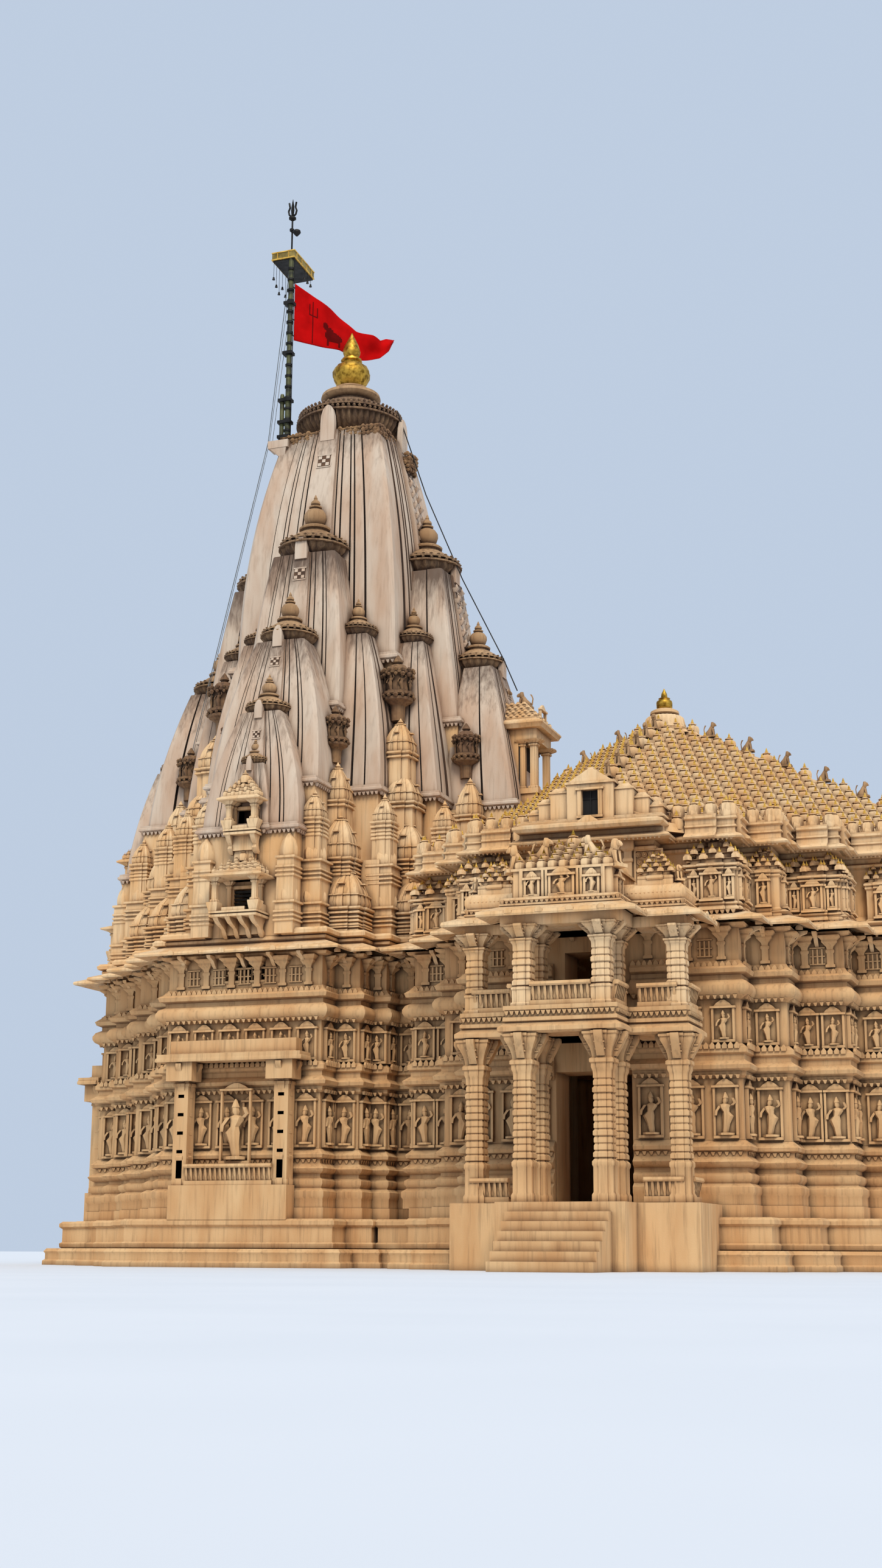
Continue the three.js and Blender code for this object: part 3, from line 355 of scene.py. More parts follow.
BLOCK = unit_block()


def block(x0, x1, y0, y1, z0, z1):
    """A block from its lowest and highest x, y and z."""
    middle = place((x0 + x1) / 2, (y0 + y1) / 2, z0, 0, (x1 - x0, y1 - y0, z1 - z0))
    return copies(BLOCK, [middle])


def front(half, near, far, z0, z1, middle=0.0):
    """A block on the south face, by its half-width and its distances from the axis."""
    return block(middle - half, middle + half, -far, -near, z0, z1)


def sweep(path, section, closed=False):
    """A moulding: a section of distance and height carried along a path round mitred corners.

    No operator mitres a section round a stepped plan's corners, so it is built point by point."""
    normals = [normal for _, _, normal, _ in edges(path, closed)]
    count, rim = len(path), len(section)
    points = []
    for i, (x, y) in enumerate(path):
        a = normals[(i - 1) % len(normals)] if closed or i > 0 else normals[0]
        b = normals[i % len(normals)] if closed or i < count - 1 else normals[-1]
        share = 1 / (1 + a[0] * b[0] + a[1] * b[1])
        mx, my = (a[0] + b[0]) * share, (a[1] + b[1]) * share
        points += [(x + mx * d, y + my * d, z) for d, z in section]
    faces = []
    for i in range(count if closed else count - 1):
        j = (i + 1) % count
        for k in range(rim):
            m = (k + 1) % rim
            faces.append((i * rim + k, j * rim + k, j * rim + m, i * rim + m))
    if not closed:
        faces.append(tuple(reversed(range(rim))))
        faces.append(tuple((count - 1) * rim + k for k in range(rim)))
    area = sum(section[k - 1][0] * section[k][1] - section[k][0] * section[k - 1][1] for k in range(rim))
    if area < 0:
        faces = [tuple(reversed(face)) for face in faces]
    loops = np.array([index for face in faces for index in face])
    sizes = np.array([len(face) for face in faces])
    return Stock(
        np.array(points, dtype=float), loops, sizes, np.zeros(len(sizes), dtype=np.int64),
        np.zeros(len(sizes), dtype=bool), np.zeros(len(points)))


def band(path, outline, closed=False, back=-0.12):
    """A moulding from its outline of distance and height, running up the wall behind it."""
    return sweep(path, outline + [(back, outline[-1][1]), (back, outline[0][1])], closed)


def weathered(stock, z0, z1, most=1.0):
    """The same stock with soot growing from none at level z0 to the most at level z1."""
    return replace(stock, weather=np.clip((stock.points[:, 2] - z0) / (z1 - z0), 0, 1) * most)


# Materials

def linear(code):
    """The linear colour of an sRGB hex value."""
    parts = [int(code[i:i + 2], 16) / 255 for i in (1, 3, 5)]
    return tuple(p / 12.92 if p <= 0.04045 else ((p + 0.055) / 1.055) ** 2.4 for p in parts) + (1.0,)


def add_node(tree, kind, inputs=None, output=0, **settings):
    """Adds a node with its settings, constants and links, and gives one of its outputs."""
    made = tree.nodes.new("ShaderNode" + kind)
    for key, value in settings.items():
        setattr(made, key, value)
    for key, value in (inputs or {}).items():
        if isinstance(value, bpy.types.NodeSocket):
            tree.links.new(value, made.inputs[key])
        else:
            made.inputs[key].default_value = value
    return made.outputs[output] if made.outputs else None


def start_material(name):
    """A new node material, and its shader linked to the output."""
    material = bpy.data.materials.new(name)
    material.use_nodes = True
    tree = material.node_tree
    tree.nodes.clear()
    surface = add_node(tree, "BsdfPrincipled")
    add_node(tree, "OutputMaterial", {"Surface": surface})
    return material, tree, surface.node


def stone(name, main, pale, dirt_and_shade, crevice_shade=0.9, streak=0.35, carved=0.0):
    """Stone with broad changes of tone, rain streaks, grime and painted shade in its hollows, soot and
    tooling marks.

    Broad patches are about 2 m, streaks 0.15 m wide and 3 m long. The tooling is drawn at 30 mm,
    coarser than the real chisel marks of 5 mm, so that it shows."""
    material, tree, shader = start_material(name)
    where = add_node(tree, "TexCoord", output="Object")
    upright = add_node(tree, "Mapping", {"Vector": where, "Scale": (2.2, 2.2, 0.5)})
    broad = add_node(tree, "TexNoise", {"Vector": upright, "Scale": 0.9, "Detail": 4.0})
    tones = add_node(tree, "MapRange", {"Value": broad, "From Min": 0.36, "From Max": 0.62})
    tone = add_node(tree, "Mix", {0: tones, 6: linear(main), 7: linear(pale)}, output=2, data_type="RGBA")
    stretched = add_node(tree, "Mapping", {"Vector": where, "Scale": (8.5, 8.5, 0.5)})
    rain = add_node(tree, "TexNoise", {"Vector": stretched, "Scale": 1.6, "Detail": 5.0, "Roughness": 0.6})
    runs = add_node(tree, "MapRange", {"Value": rain, "From Min": 0.5, "From Max": 0.74})
    streaks = add_node(tree, "Math", {0: runs, 1: streak}, operation="MULTIPLY")
    stained = add_node(tree, "Mix", {0: streaks, 6: tone, 7: linear(dirt_and_shade)}, output=2, data_type="RGBA")
    soot = add_node(tree, "Attribute", output="Fac", attribute_name="weather")
    reach = add_node(tree, "Math", {0: rain, 1: 1.3, 2: soot}, operation="MULTIPLY_ADD")
    patch = add_node(tree, "MapRange", {"Value": reach, "From Min": 1.0, "From Max": 1.8, "To Max": 0.85})
    sooty = add_node(tree, "Mix", {0: patch, 6: stained, 7: linear(SOOT)}, output=2, data_type="RGBA")
    # Painted shade: ambient occlusion darkens hollows, creases and corners towards the darkest colour, which
    # stands for grime there and for the shade that falls there.
    occlusion = add_node(tree, "AmbientOcclusion", {"Distance": 0.2}, output="AO", samples=6)
    shaded = add_node(
        tree, "MapRange",
        {"Value": occlusion, "From Min": 0.25, "From Max": 0.88, "To Min": crevice_shade, "To Max": 0.0})
    colour = add_node(tree, "Mix", {0: shaded, 6: sooty, 7: linear(dirt_and_shade)}, output=2, data_type="RGBA")
    tree.links.new(colour, shader.inputs["Base Color"])
    shader.inputs["Roughness"].default_value = 0.88  # dry, worn stone has almost no gloss
    grain = add_node(tree, "TexNoise", {"Vector": where, "Scale": 34.0, "Detail": 6.0})
    normal = add_node(tree, "Bump", {"Height": grain, "Strength": 0.35, "Distance": 0.006})
    if carved:
        figures = add_node(
            tree, "TexVoronoi", {"Vector": where, "Scale": 9.0}, output="Distance", feature="SMOOTH_F1")
        normal = add_node(
            tree, "Bump", {"Height": figures, "Strength": carved, "Distance": 0.05, "Normal": normal})
    tree.links.new(normal, shader.inputs["Normal"])
    return material


def metal(name, bright, dull, roughness, metallic=1.0, scale=6.0):
    """Metal with duller patches 0.15 m wide, as on hammered and painted metal outdoors."""
    material, tree, shader = start_material(name)
    where = add_node(tree, "TexCoord", output="Object")
    patches = add_node(tree, "TexNoise", {"Vector": where, "Scale": scale, "Detail": 5.0})
    tones = add_node(tree, "MapRange", {"Value": patches, "From Min": 0.42, "From Max": 0.66})
    tone = add_node(tree, "Mix", {0: tones, 6: linear(bright), 7: linear(dull)}, output=2, data_type="RGBA")
    tree.links.new(tone, shader.inputs["Base Color"])
    rough = add_node(
        tree, "MapRange", {"Value": patches, "To Min": roughness - 0.1, "To Max": roughness + 0.2})
    tree.links.new(rough, shader.inputs["Roughness"])
    shader.inputs["Metallic"].default_value = metallic
    normal = add_node(tree, "Bump", {"Height": patches, "Strength": 0.3, "Distance": 0.01})
    tree.links.new(normal, shader.inputs["Normal"])
    return material


def cloth(name, colour, shade):
    """Woven polyester flag cloth, matt.

    The threads are drawn 8 mm apart, coarser than the real ones, so that they show."""
    material, tree, shader = start_material(name)
    where = add_node(tree, "TexCoord", output="Object")
    threads = add_node(
        tree, "TexWave", {"Vector": where, "Scale": 60.0, "Distortion": 0.5}, output=1, bands_direction="Z")
    # Painted shade: noise darkens the cloth in patches towards the shade colour, standing in for the shade in
    # its folds.
    folds = add_node(tree, "TexNoise", {"Vector": where, "Scale": 2.5})
    tones = add_node(tree, "MapRange", {"Value": folds, "From Min": 0.35, "From Max": 0.7})
    tone = add_node(tree, "Mix", {0: tones, 6: linear(colour), 7: linear(shade)}, output=2, data_type="RGBA")
    tree.links.new(tone, shader.inputs["Base Color"])
    shader.inputs["Roughness"].default_value = 0.95
    shader.inputs["Specular IOR Level"].default_value = 0.1
    normal = add_node(tree, "Bump", {"Height": threads, "Strength": 0.15, "Distance": 0.003})
    tree.links.new(normal, shader.inputs["Normal"])
    return material


SOOT = "#4a3426"
FINISH = {}


def make_finishes(look):
    """Every finish of the temple, named for the real material or for the shade that it paints.

    Sandstone is matt, warm and streaked by rain. Lime plaster is greyer, and soot blackens it
    from above. Dust dulls the gilding, and the small copper tips are brighter than the pots."""
    FINISH.update(
        tan=stone("carved_tan_sandstone", look.tan_hex, "#dab280", "#341303"),
        light=stone("carved_light_sandstone", look.light_hex, "#e8c698", "#431804"),
        frieze=stone("figured_sandstone_frieze", look.light_hex, "#d3ad80", "#43200b", carved=0.9),
        plaster=stone(
            "lime_plastered_spire", look.plaster_hex, "#d0bca6", "#5c3819", crevice_shade=0.85, streak=0.26),
        # The dark finish of the spires' grooves is partly soot and partly painted shade of the deep grooves.
        groove=stone("sooty_groove_painted_shade", "#3f2a1c", "#634630", "#1c120b", streak=0.1),
        grey=stone("weathered_brown_stone", "#99754f", "#b8936a", "#2f180b", streak=0.45),
        dark=stone("blackened_carved_stone", "#7d5b3e", "#9c774f", "#21120a", streak=0.45, carved=0.5),
        gold=metal("gilded_brass", look.gold_hex, "#7a5a1c", 0.5, scale=9.0),
        tips=metal("gilded_copper_tips", "#ecc15c", "#c2912f", 0.5, metallic=0.45),
        brass=metal("tarnished_brass_sheet", "#a08a4a", "#6d5b2a", 0.6, metallic=0.5, scale=4.0),
        pole=metal("painted_steel_pole", "#55552f", "#1b1b15", 0.55, metallic=0.2, scale=4.0),
        iron=metal("blackened_steel", "#262421", "#141311", 0.55, metallic=0.6),
        wire=metal("galvanised_steel_wire", "#8b8b87", "#5c5c58", 0.45),
        # Painted shade: a near-black finish for panels set behind openings, where the rooms would be in
        # shade.
        unlit=stone("painted_shade_of_unlit_room", "#171310", "#0f0c0a", "#060504", streak=0.0),
        flag=cloth("red_woven_flag_cloth", look.flag_hex, "#a80000"),
        motif=cloth("dark_red_printed_cloth", "#6c0505", "#540303"))


# Parts that are repeated

def dentil():
    """A small wedge that hangs under a cornice."""
    return stack([(0.03, 0.04, -0.14), (0.085, 0.07, 0)])


def bead():
    """A small knob two metres across before it is sized, with few faces."""
    return turning([(0.5, -0.8), (1, 0), (0.4, 0.8)], 5)


def figure(lean=1.0):
    """A standing guardian figure about one metre high, with a tall headdress and bent arms."""
    body = form(circle(6), [
        (0.2, 0.13, 0), (0.2, 0.13, 0.05), (0.075, 0.06, 0.06, 0.02 * lean, 0),
        (0.09, 0.07, 0.26, -0.01 * lean, 0), (0.14, 0.1, 0.44, -0.05 * lean, 0),
        (0.08, 0.07, 0.54, -0.01 * lean, 0), (0.12, 0.09, 0.64, 0.03 * lean, 0),
        (0.15, 0.08, 0.7, 0.03 * lean, 0), (0.045, 0.045, 0.735, 0.02 * lean, 0),
        (0.068, 0.07, 0.79, 0.01 * lean, 0), (0.06, 0.06, 0.85), (0.075, 0.07, 0.865), (0.05, 0.05, 0.93),
        (0.012, 0.012, 1)])
    left = stack(
        [(0.03, 0.03, 0.46, -0.23, -0.02), (0.03, 0.03, 0.56, -0.21, -0.03), (0.035, 0.035, 0.69, -0.12, 0)])
    right = stack(
        [(0.035, 0.035, 0.69, 0.16, 0), (0.03, 0.03, 0.75, 0.23, -0.03), (0.025, 0.025, 0.86, 0.19, -0.05)])
    return joined(body, left, right)


def niche(width, height):
    """A niche for a figure: a sill, two small pilasters and a peaked hood."""
    w = width / 2
    return joined(
        block(-w, w, -0.16, 0.02, 0, 0.1), block(-w, -w + 0.09, -0.12, 0.02, 0.1, height - 0.2),
        block(w - 0.09, w, -0.12, 0.02, 0.1, height - 0.2),
        block(-w - 0.04, w + 0.04, -0.17, 0.02, height - 0.2, height - 0.12),
        stack([
            (w * 0.8, 0.06, height - 0.12, 0, -0.05), (w * 0.55, 0.06, height, 0, -0.05),
            (w * 0.15, 0.05, height + 0.12, 0, -0.05)]))


def lion():
    """A seated stone lion about one metre high with a mane and a raised tail, looking south."""
    parts = [
        form(circle(7), [
            (0.2, 0.3, 0, 0, 0.12), (0.21, 0.3, 0.2, 0, 0.1), (0.17, 0.2, 0.42, 0, -0.02),
            (0.14, 0.15, 0.64, 0, -0.12)]),
        form(circle(7), [
            (0.12, 0.12, 0.52, 0, -0.14), (0.19, 0.16, 0.64, 0, -0.16), (0.19, 0.15, 0.78, 0, -0.18),
            (0.1, 0.09, 0.92, 0, -0.15)]),
        stack([
            (0.06, 0.07, 0.64, 0, -0.36), (0.09, 0.09, 0.7, 0, -0.35), (0.09, 0.07, 0.79, 0, -0.32),
            (0.05, 0.04, 0.86, 0, -0.28)]),
        stack([
            (0.03, 0.04, 0.05, 0, 0.44), (0.03, 0.03, 0.45, 0, 0.5), (0.03, 0.04, 0.62, 0, 0.44),
            (0.05, 0.05, 0.72, 0, 0.38)])]
    leg = stack([(0.06, 0.11, 0, 0, -0.32), (0.045, 0.05, 0.1, 0, -0.26), (0.06, 0.07, 0.5, 0, -0.18)])
    parts += [copies(leg, [place(-0.11), place(0.11)]), stack([(0.28, 0.48, -0.12), (0.28, 0.48, 0)])]
    return joined(*parts)


def relief(width, height):
    """A framed panel of foliage in low relief, facing south, from the middle of its lower edge."""
    rose = turning([(0.13, 0), (0.115, 0.05), (0.08, 0.014), (0.04, 0.014), (0.03, 0.05)], 7)
    across, up = max(1, round(width / 0.28)), max(1, round(height / 0.28))
    places = []
    for i in range(across):
        for k in range(up):
            spot = place(
                -width / 2 + (i + 0.5 + 0.12 * (-1) ** k) * width / across, 0, (k + 0.5) * height / up)
            places.append(spot @ Matrix.Rotation(pi / 2, 4, "X"))
    w = width / 2
    frame_bars = [front(0.04, -0.02, 0.06, 0, height, s * (w + 0.04)) for s in BOTH]
    frame_bars += [front(w + 0.08, -0.02, 0.07, z, z + 0.07) for z in (-0.07, height)]
    return joined(copies(rose, places), *frame_bars)


def bell():
    """A bell of the roof: a domed body with a flat rim over it, 0.6 m across."""
    return turning(
        [(0.3, -0.2), (0.32, 0.06), (0.28, 0.2), (0.15, 0.28), (0.2, 0.31), (0.2, 0.34), (0.08, 0.38)], 6)


def bell_cap():
    """The gilded pot and point on a bell."""
    return turning([(0.06, 0.37), (0.095, 0.41), (0.045, 0.46), (0.055, 0.49), (0.008, 0.61)], 5)


def crown():
    """The crown of a spire, its ring one metre: ribbed ring, rims, skirt, disc and pot."""
    ring = turning([(0.7, -0.04), (0.78, 0.03), (0.97, 0.1), (1, 0.15), (0.94, 0.19)], 40, dent=0.1)
    rims = [
        turning([(0.8, z - 0.005), (r, z), (r, z + 0.022), (0.8, z + 0.03)], 20)
        for r, z in ((1.06, 0.155), (1, 0.222))]
    beads = copies(bead(), [
        place(cos(t) * r, sin(t) * r, z, 0, (0.055, 0.055, 0.018)) for t in turns_of(26)
        for r, z in ((1.02, 0.198), (0.96, 0.262))])
    skirt_and_disc = turning([
        (0.92, 0.25), (0.84, 0.29), (0.66, 0.345), (0.5, 0.4), (0.4, 0.42), (0.38, 0.445), (0.46, 0.46),
        (0.47, 0.485), (0.4, 0.51), (0.2, 0.52)], 18)
    pot = turning([
        (0.24, 0.51), (0.21, 0.535), (0.29, 0.575), (0.335, 0.64), (0.325, 0.7), (0.25, 0.755), (0.13, 0.785),
        (0.19, 0.8), (0.19, 0.82), (0.1, 0.835), (0.145, 0.86), (0.13, 0.89), (0.05, 0.93), (0.06, 0.945),
        (0.01, 1)], 14)
    lower = joined(ring, *rims, beads, skirt_and_disc)
    return joined(weathered(lower, 0.6, 0.1, 1), weathered(pot, 1.2, 0.5, 0.2)).on(2)


# Spires

def curved(start, end, share, curve):
    """A value on its way from start to end, slow at first and then faster."""
    return start - (start - end) * share ** curve


def spire_levels(spec, steps, width_curve=WIDTH_CURVE, depth_curve=DEPTH_CURVE):
    """A spire's body level by level: its half-width, half-depth and height."""
    levels = []
    for step in range(steps + 1):
        share = step / steps
        levels.append((
            curved(spec.half, spec.top, share, width_curve),
            curved(spec.depth, spec.depth_top, share, depth_curve),
            spec.base + (spec.shoulder - spec.base) * share))
    return levels


def face_at(spec, z, curve):
    """How far a spire's middle rib is from its axis at a height, and its fall in a metre."""
    def out(level):
        share = (level - spec.base) / (spec.shoulder - spec.base)
        return curved(spec.depth, spec.depth_top, share, curve) * RIB_OUT
    return out(z), (out(z - 0.2) - out(z + 0.2)) / 0.4


# Ribs of the spires, as shares of the half-width and half-depth, and the grooves between them:
# from, to and least depth
FRONT_RIBS = [
    (0.25, -1.1), (0.25, -1.04), (0.285, -1.04), (0.285, -0.93), (0.31, -0.93), (0.31, -1.03), (0.41, -1.03),
    (0.41, -0.92), (0.435, -0.92), (0.435, -1.02), (0.62, -1.02), (0.62, -0.9), (0.645, -0.9), (0.645, -1.0),
    (0.7, -1.0), (0.7, -0.9), (0.72, -0.9), (0.72, -0.99), (0.93, -0.99), (1, -0.92), (1, -0.45),
    (0.92, -0.45), (0.92, -0.4), (0.98, -0.4), (0.98, 0.3)]
FRONT_GROOVES = [
    (0.285, 0.31, 1), (0.41, 0.435, 0.98), (0.62, 0.645, 0.97), (0.7, 0.72, 0.96), (0.4, 0.45, 0.97)]
FACE_PLAN = [(-u, v) for u, v in reversed(FRONT_RIBS)] + FRONT_RIBS
MAIN_EIGHTH = [
    (0.2, 1.1), (0.2, 1.05), (0.225, 1.05), (0.225, 0.95), (0.245, 0.95), (0.245, 1.05), (0.3, 1.05),
    (0.3, 0.94), (0.32, 0.94), (0.32, 1.04), (0.44, 1.04), (0.44, 0.93), (0.46, 0.93), (0.46, 1.03),
    (0.5, 1.03), (0.5, 0.93), (0.52, 0.93), (0.52, 1.02), (0.64, 1.02), (0.64, 0.92), (0.66, 0.92), (0.66, 1),
    (0.95, 1)]
MAIN_GROOVES = [
    (0.225, 0.245, 1.03), (0.3, 0.32, 1.02), (0.44, 0.46, 1.01), (0.5, 0.52, 1), (0.64, 0.66, 0.99)]
CORNER_EIGHTH = [
    (0.28, 1.05), (0.28, 0.9), (0.32, 0.9), (0.32, 1), (0.6, 1), (0.6, 0.9), (0.63, 0.9), (0.63, 0.98),
    (0.93, 0.98)]
CORNER_GROOVES = [(0.28, 0.32, 0.98), (0.6, 0.63, 0.96)]


def groove_faces(stock, levels, grooves):
    """Puts the faces that lie in the grooves of a spire on the second material slot, which paints them dark
    with soot and painted shade.
    """
    zs, xs, ys = [l[2] for l in levels], [l[0] for l in levels], [l[1] for l in levels]
    starts = np.concatenate([[0], np.cumsum(stock.sizes)[:-1]])
    corners = stock.points[stock.loops]
    middles = np.add.reduceat(corners, starts, axis=0) / stock.sizes[:, None]
    u = np.abs(middles[:, 0] / np.interp(middles[:, 2], zs, xs))
    v = np.abs(middles[:, 1] / np.interp(middles[:, 2], zs, ys))
    slots = stock.slots.copy()
    for low, high, depth in grooves:
        for a, b in ((u, v), (v, u)):
            slots[(a > low - 0.003) & (a < high + 0.003) & (b < depth) & (b > 0.7) & (stock.sizes == 4)] = 1
    return replace(stock, slots=slots)


def skirt(half, depth, base, back=-0.3):
    """The cornice at the foot of a half-spire, with a row of hanging wedges."""
    path = [(-half, back), (-half, -depth), (half, -depth), (half, back)]
    edge = sweep(path, [
        (-0.06, base - 0.02), (0.1, base), (0.18, base + 0.07), (0.18, base + 0.16), (0.11, base + 0.22),
        (0.11, base + 0.3), (-0.06, base + 0.36)])
    return joined(edge, copies(dentil(), along(path, 0.21, 0.06, base - 0.01)))


def tongue(half, z0, z1, out):
    """A pointed leaf that rises in front of a ribbed ring."""
    shares = (
        (1, 0.14, 0), (1, 0.14, 0.5), (0.93, 0.13, 0.7), (0.72, 0.11, 0.86), (0.4, 0.08, 0.96),
        (0.08, 0.05, 1))
    return stack([(half * wide, deep, z0 + (z1 - z0) * rise, 0, -out) for wide, deep, rise in shares])


def pierced_panel(half, spec, z, curve):
    """A square painted dark for the shade in its piercings, with five pale studs, leaned back with the
    spire's face.
    """
    out, slope = face_at(spec, z, curve)
    stud = half * 0.27
    parts = [
        front(half, -0.1, 0.02, -half, half).on(1), front(half + 0.04, -0.1, 0.035, half, half + 0.05),
        front(half + 0.04, -0.1, 0.035, -half - 0.05, -half)]
    for x, dz in ((0, 0), (-1, -1), (1, -1), (-1, 1), (1, 1)):
        parts.append(
            front(stud, -0.05, 0.05, dz * half * 0.62 - stud, dz * half * 0.62 + stud, x * half * 0.62))
    lean = Matrix.Translation((0, -out, z)) @ Matrix.Rotation(-atan(slope), 4, "X")
    return copies(joined(*parts), [lean])


def climbing_brackets(spec, curve, z0, z1, apart, pitch=0.58):
    """Small shelves with a knob that climb both edges of a spire's middle rib."""
    shelf = stack([(0.05, 0.1, -0.2, 0, 0.02), (0.1, 0.14, -0.03, 0, -0.06), (0.1, 0.15, 0.02, 0, -0.07)])
    step = joined(shelf, moved(form(circle(6), even([(0.06, 0.01), (0.08, 0.08), (0.03, 0.2)])), 0, -0.1))
    heights = [z0 + pitch * i for i in range(int((z1 - z0) / pitch) + 1)]
    return copies(step, [
        place(side * apart, -face_at(spec, z, curve)[0], z) for z in heights for side in BOTH])


def lumpy_band(path, z0, z1, out, pitch, seed, closed=False):
    """A band of worn carving: rows of knobs of uneven size."""
    rng = np.random.default_rng(seed)
    knob, places = bead(), []
    rows = max(2, round((z1 - z0) / pitch))
    for row in range(rows):
        for spot in along(path, pitch, out, z0 + (row + 0.5) * (z1 - z0) / rows, closed):
            size = pitch * rng.uniform(0.4, 0.72)
            shift = place(
                rng.uniform(-0.05, 0.05), rng.uniform(-0.04, 0.04), rng.uniform(-0.05, 0.05), 0,
                (size, size * 0.8, size))
            places.append(spot @ shift)
    return copies(knob, places)


def half_spire(spec, crown_stock, soot=1.0, doorway=None, climb=False):
    """A half-spire on the south side: its ribbed body, skirt, crown, leaf and pierced panel.

    A doorway is given by its half-width, sill, head and depth."""
    levels = spire_levels(spec, 12)
    body = form(FACE_PLAN, levels)
    parts = []
    if doorway:
        half, z0, z1, deep = doorway
        out = face_at(spec, z0, DEPTH_CURVE)[0] / RIB_OUT
        body = cut(body, [("DIFFERENCE", front(half, out - deep, out + 1, z0, z1))])
        # A panel painted dark at the back of the doorway stands for the shade inside it.
        parts.append(front(half, out - deep, out - deep + 0.05, z0, z1).on(1))
    body = groove_faces(body, levels, FRONT_GROOVES)
    parts.append(weathered(body, spec.shoulder - SOOT_REACH, spec.shoulder, soot * SOOT_MOST))
    rise = spec.tip - spec.shoulder
    ring = spec.ring * 1.07
    head = moved(crown_stock, 0, 0, spec.shoulder, 0, (ring, ring, rise))
    head.weather = head.weather * soot
    out = spec.depth_top * RIB_OUT + 0.02
    leaf = tongue(spec.top * 0.19, spec.shoulder - 0.35, spec.shoulder + rise * 0.26, out)
    parts += [head, weathered(leaf, spec.shoulder - 1, spec.shoulder + 2, soot)]
    if spec.ring > 0.6:
        parts.append(pierced_panel(spec.top * 0.18, spec, spec.shoulder - 1.15, DEPTH_CURVE))
    if climb:
        parts.append(
            climbing_brackets(spec, DEPTH_CURVE, spec.shoulder - 3.6, spec.shoulder - 0.6, spec.top * 0.25))
    parts.append(skirt(spec.half, spec.depth * 1.05, spec.base))
    return moved(joined(*parts), 0, -spec.axis, 0)


def build_half_spires():
    crown_stock = crown()
    finishes = "plaster groove grey light"
    for rank, (spec, soot) in enumerate(zip(HALF_SPIRES, (1, 0.8, 0.6))):
        doorway = (0.44, 18.5, 19.5, 0.5) if rank == 2 else None
        solid = half_spire(spec, crown_stock, soot, doorway)
        if rank == 2:
            spirelet = half_spire(SPIRELET, crown_stock, 0.5, (0.44, 18.5, 19.5, 1.2))
            piers = copies(slim_shrines(0.44, (16.35, 18.3)), [place(s * 1.98, -10.8) for s in BOTH])
            solid = joined(solid, spirelet, piers.on(3))
        for side, name in enumerate(SIDES):
            if rank == 2 and side == 1:
                continue
            node = f"{name}_half_spire_{rank + 1}"
            form_here = half_spire(spec, crown_stock, soot, None, True) if side == 1 and rank == 0 else solid
            piece(node + "_ribbed", on_sides(form_here, [side]), finishes, [node])


def build_main_spire():
    levels = spire_levels(MAIN_SPIRE, 16, MAIN_CURVE, MAIN_CURVE)
    body = groove_faces(form(four_sided(MAIN_EIGHTH), levels), levels, MAIN_GROOVES)
    body = weathered(body, SHOULDER - 2.6, SHOULDER)
    top = MAIN_SPIRE.top
    square = [(-top, -top), (top, -top), (top, top), (-top, top)]
    frieze = sweep(square, [
        (-0.3, SHOULDER - 0.45), (0.02, SHOULDER - 0.42), (0.1, SHOULDER - 0.3), (0.06, SHOULDER - 0.05),
        (0.14, SHOULDER + 0.02), (0.14, SHOULDER + 0.08), (-0.3, SHOULDER + 0.1)], closed=True).on(3)
    carving = lumpy_band(square, SHOULDER - 0.42, SHOULDER + 0.14, 0.1, 0.21, 5, closed=True).on(3)
    half = MAIN_SPIRE.half * 1.04
    foot = [(-half, -half), (half, -half), (half, half), (-half, half)]
    skirts = joined(
        sweep(foot, [
            (-0.2, SPIRE_BASE - 0.02), (0.05, SPIRE_BASE), (0.14, SPIRE_BASE + 0.08),
            (0.14, SPIRE_BASE + 0.2), (0.06, SPIRE_BASE + 0.28), (0.06, SPIRE_BASE + 0.38),
            (-0.2, SPIRE_BASE + 0.44)], closed=True),
        copies(dentil(), along(foot, 0.24, 0.02, SPIRE_BASE - 0.01, closed=True)))
    leaves = on_sides(tongue(0.37, SHOULDER - 0.6, SHOULDER + 1.35, top * RIB_OUT + 0.05))
    marks = on_sides(pierced_panel(0.33, MAIN_SPIRE, 38.75, MAIN_CURVE))
    brackets = on_sides(climbing_brackets(MAIN_SPIRE, MAIN_CURVE, 33.6, 38.6, 0.4), [1])
    out = face_at(MAIN_SPIRE, 39.3, MAIN_CURVE)[0]
    path = [(-0.42, -out + 0.3), (-0.42, -out - 0.3), (0.42, -out - 0.3), (0.42, -out + 0.3)]
    console = joined(
        front(0.42, out - 0.3, out + 0.3, 38.95, 39.75), lumpy_band(path, 38.9, 39.95, 0.02, 0.22, 8))
    corbel = joined(
        block(-3.3, -2.2, -2.9, -2.1, 40.05, 40.45),
        stack([(0.15, 0.3, 39.6, -2.55, -2.5), (0.45, 0.38, 40.05, -2.75, -2.5)]))
    solid = joined(
        body, frieze, carving, skirts, weathered(leaves, SHOULDER, SHOULDER + 3), marks, brackets,
        on_sides(console, [1]).on(3), corbel)
    finishes = "plaster groove grey dark"
    piece("main_spire_ribbed", solid, finishes, ["main_spire"])


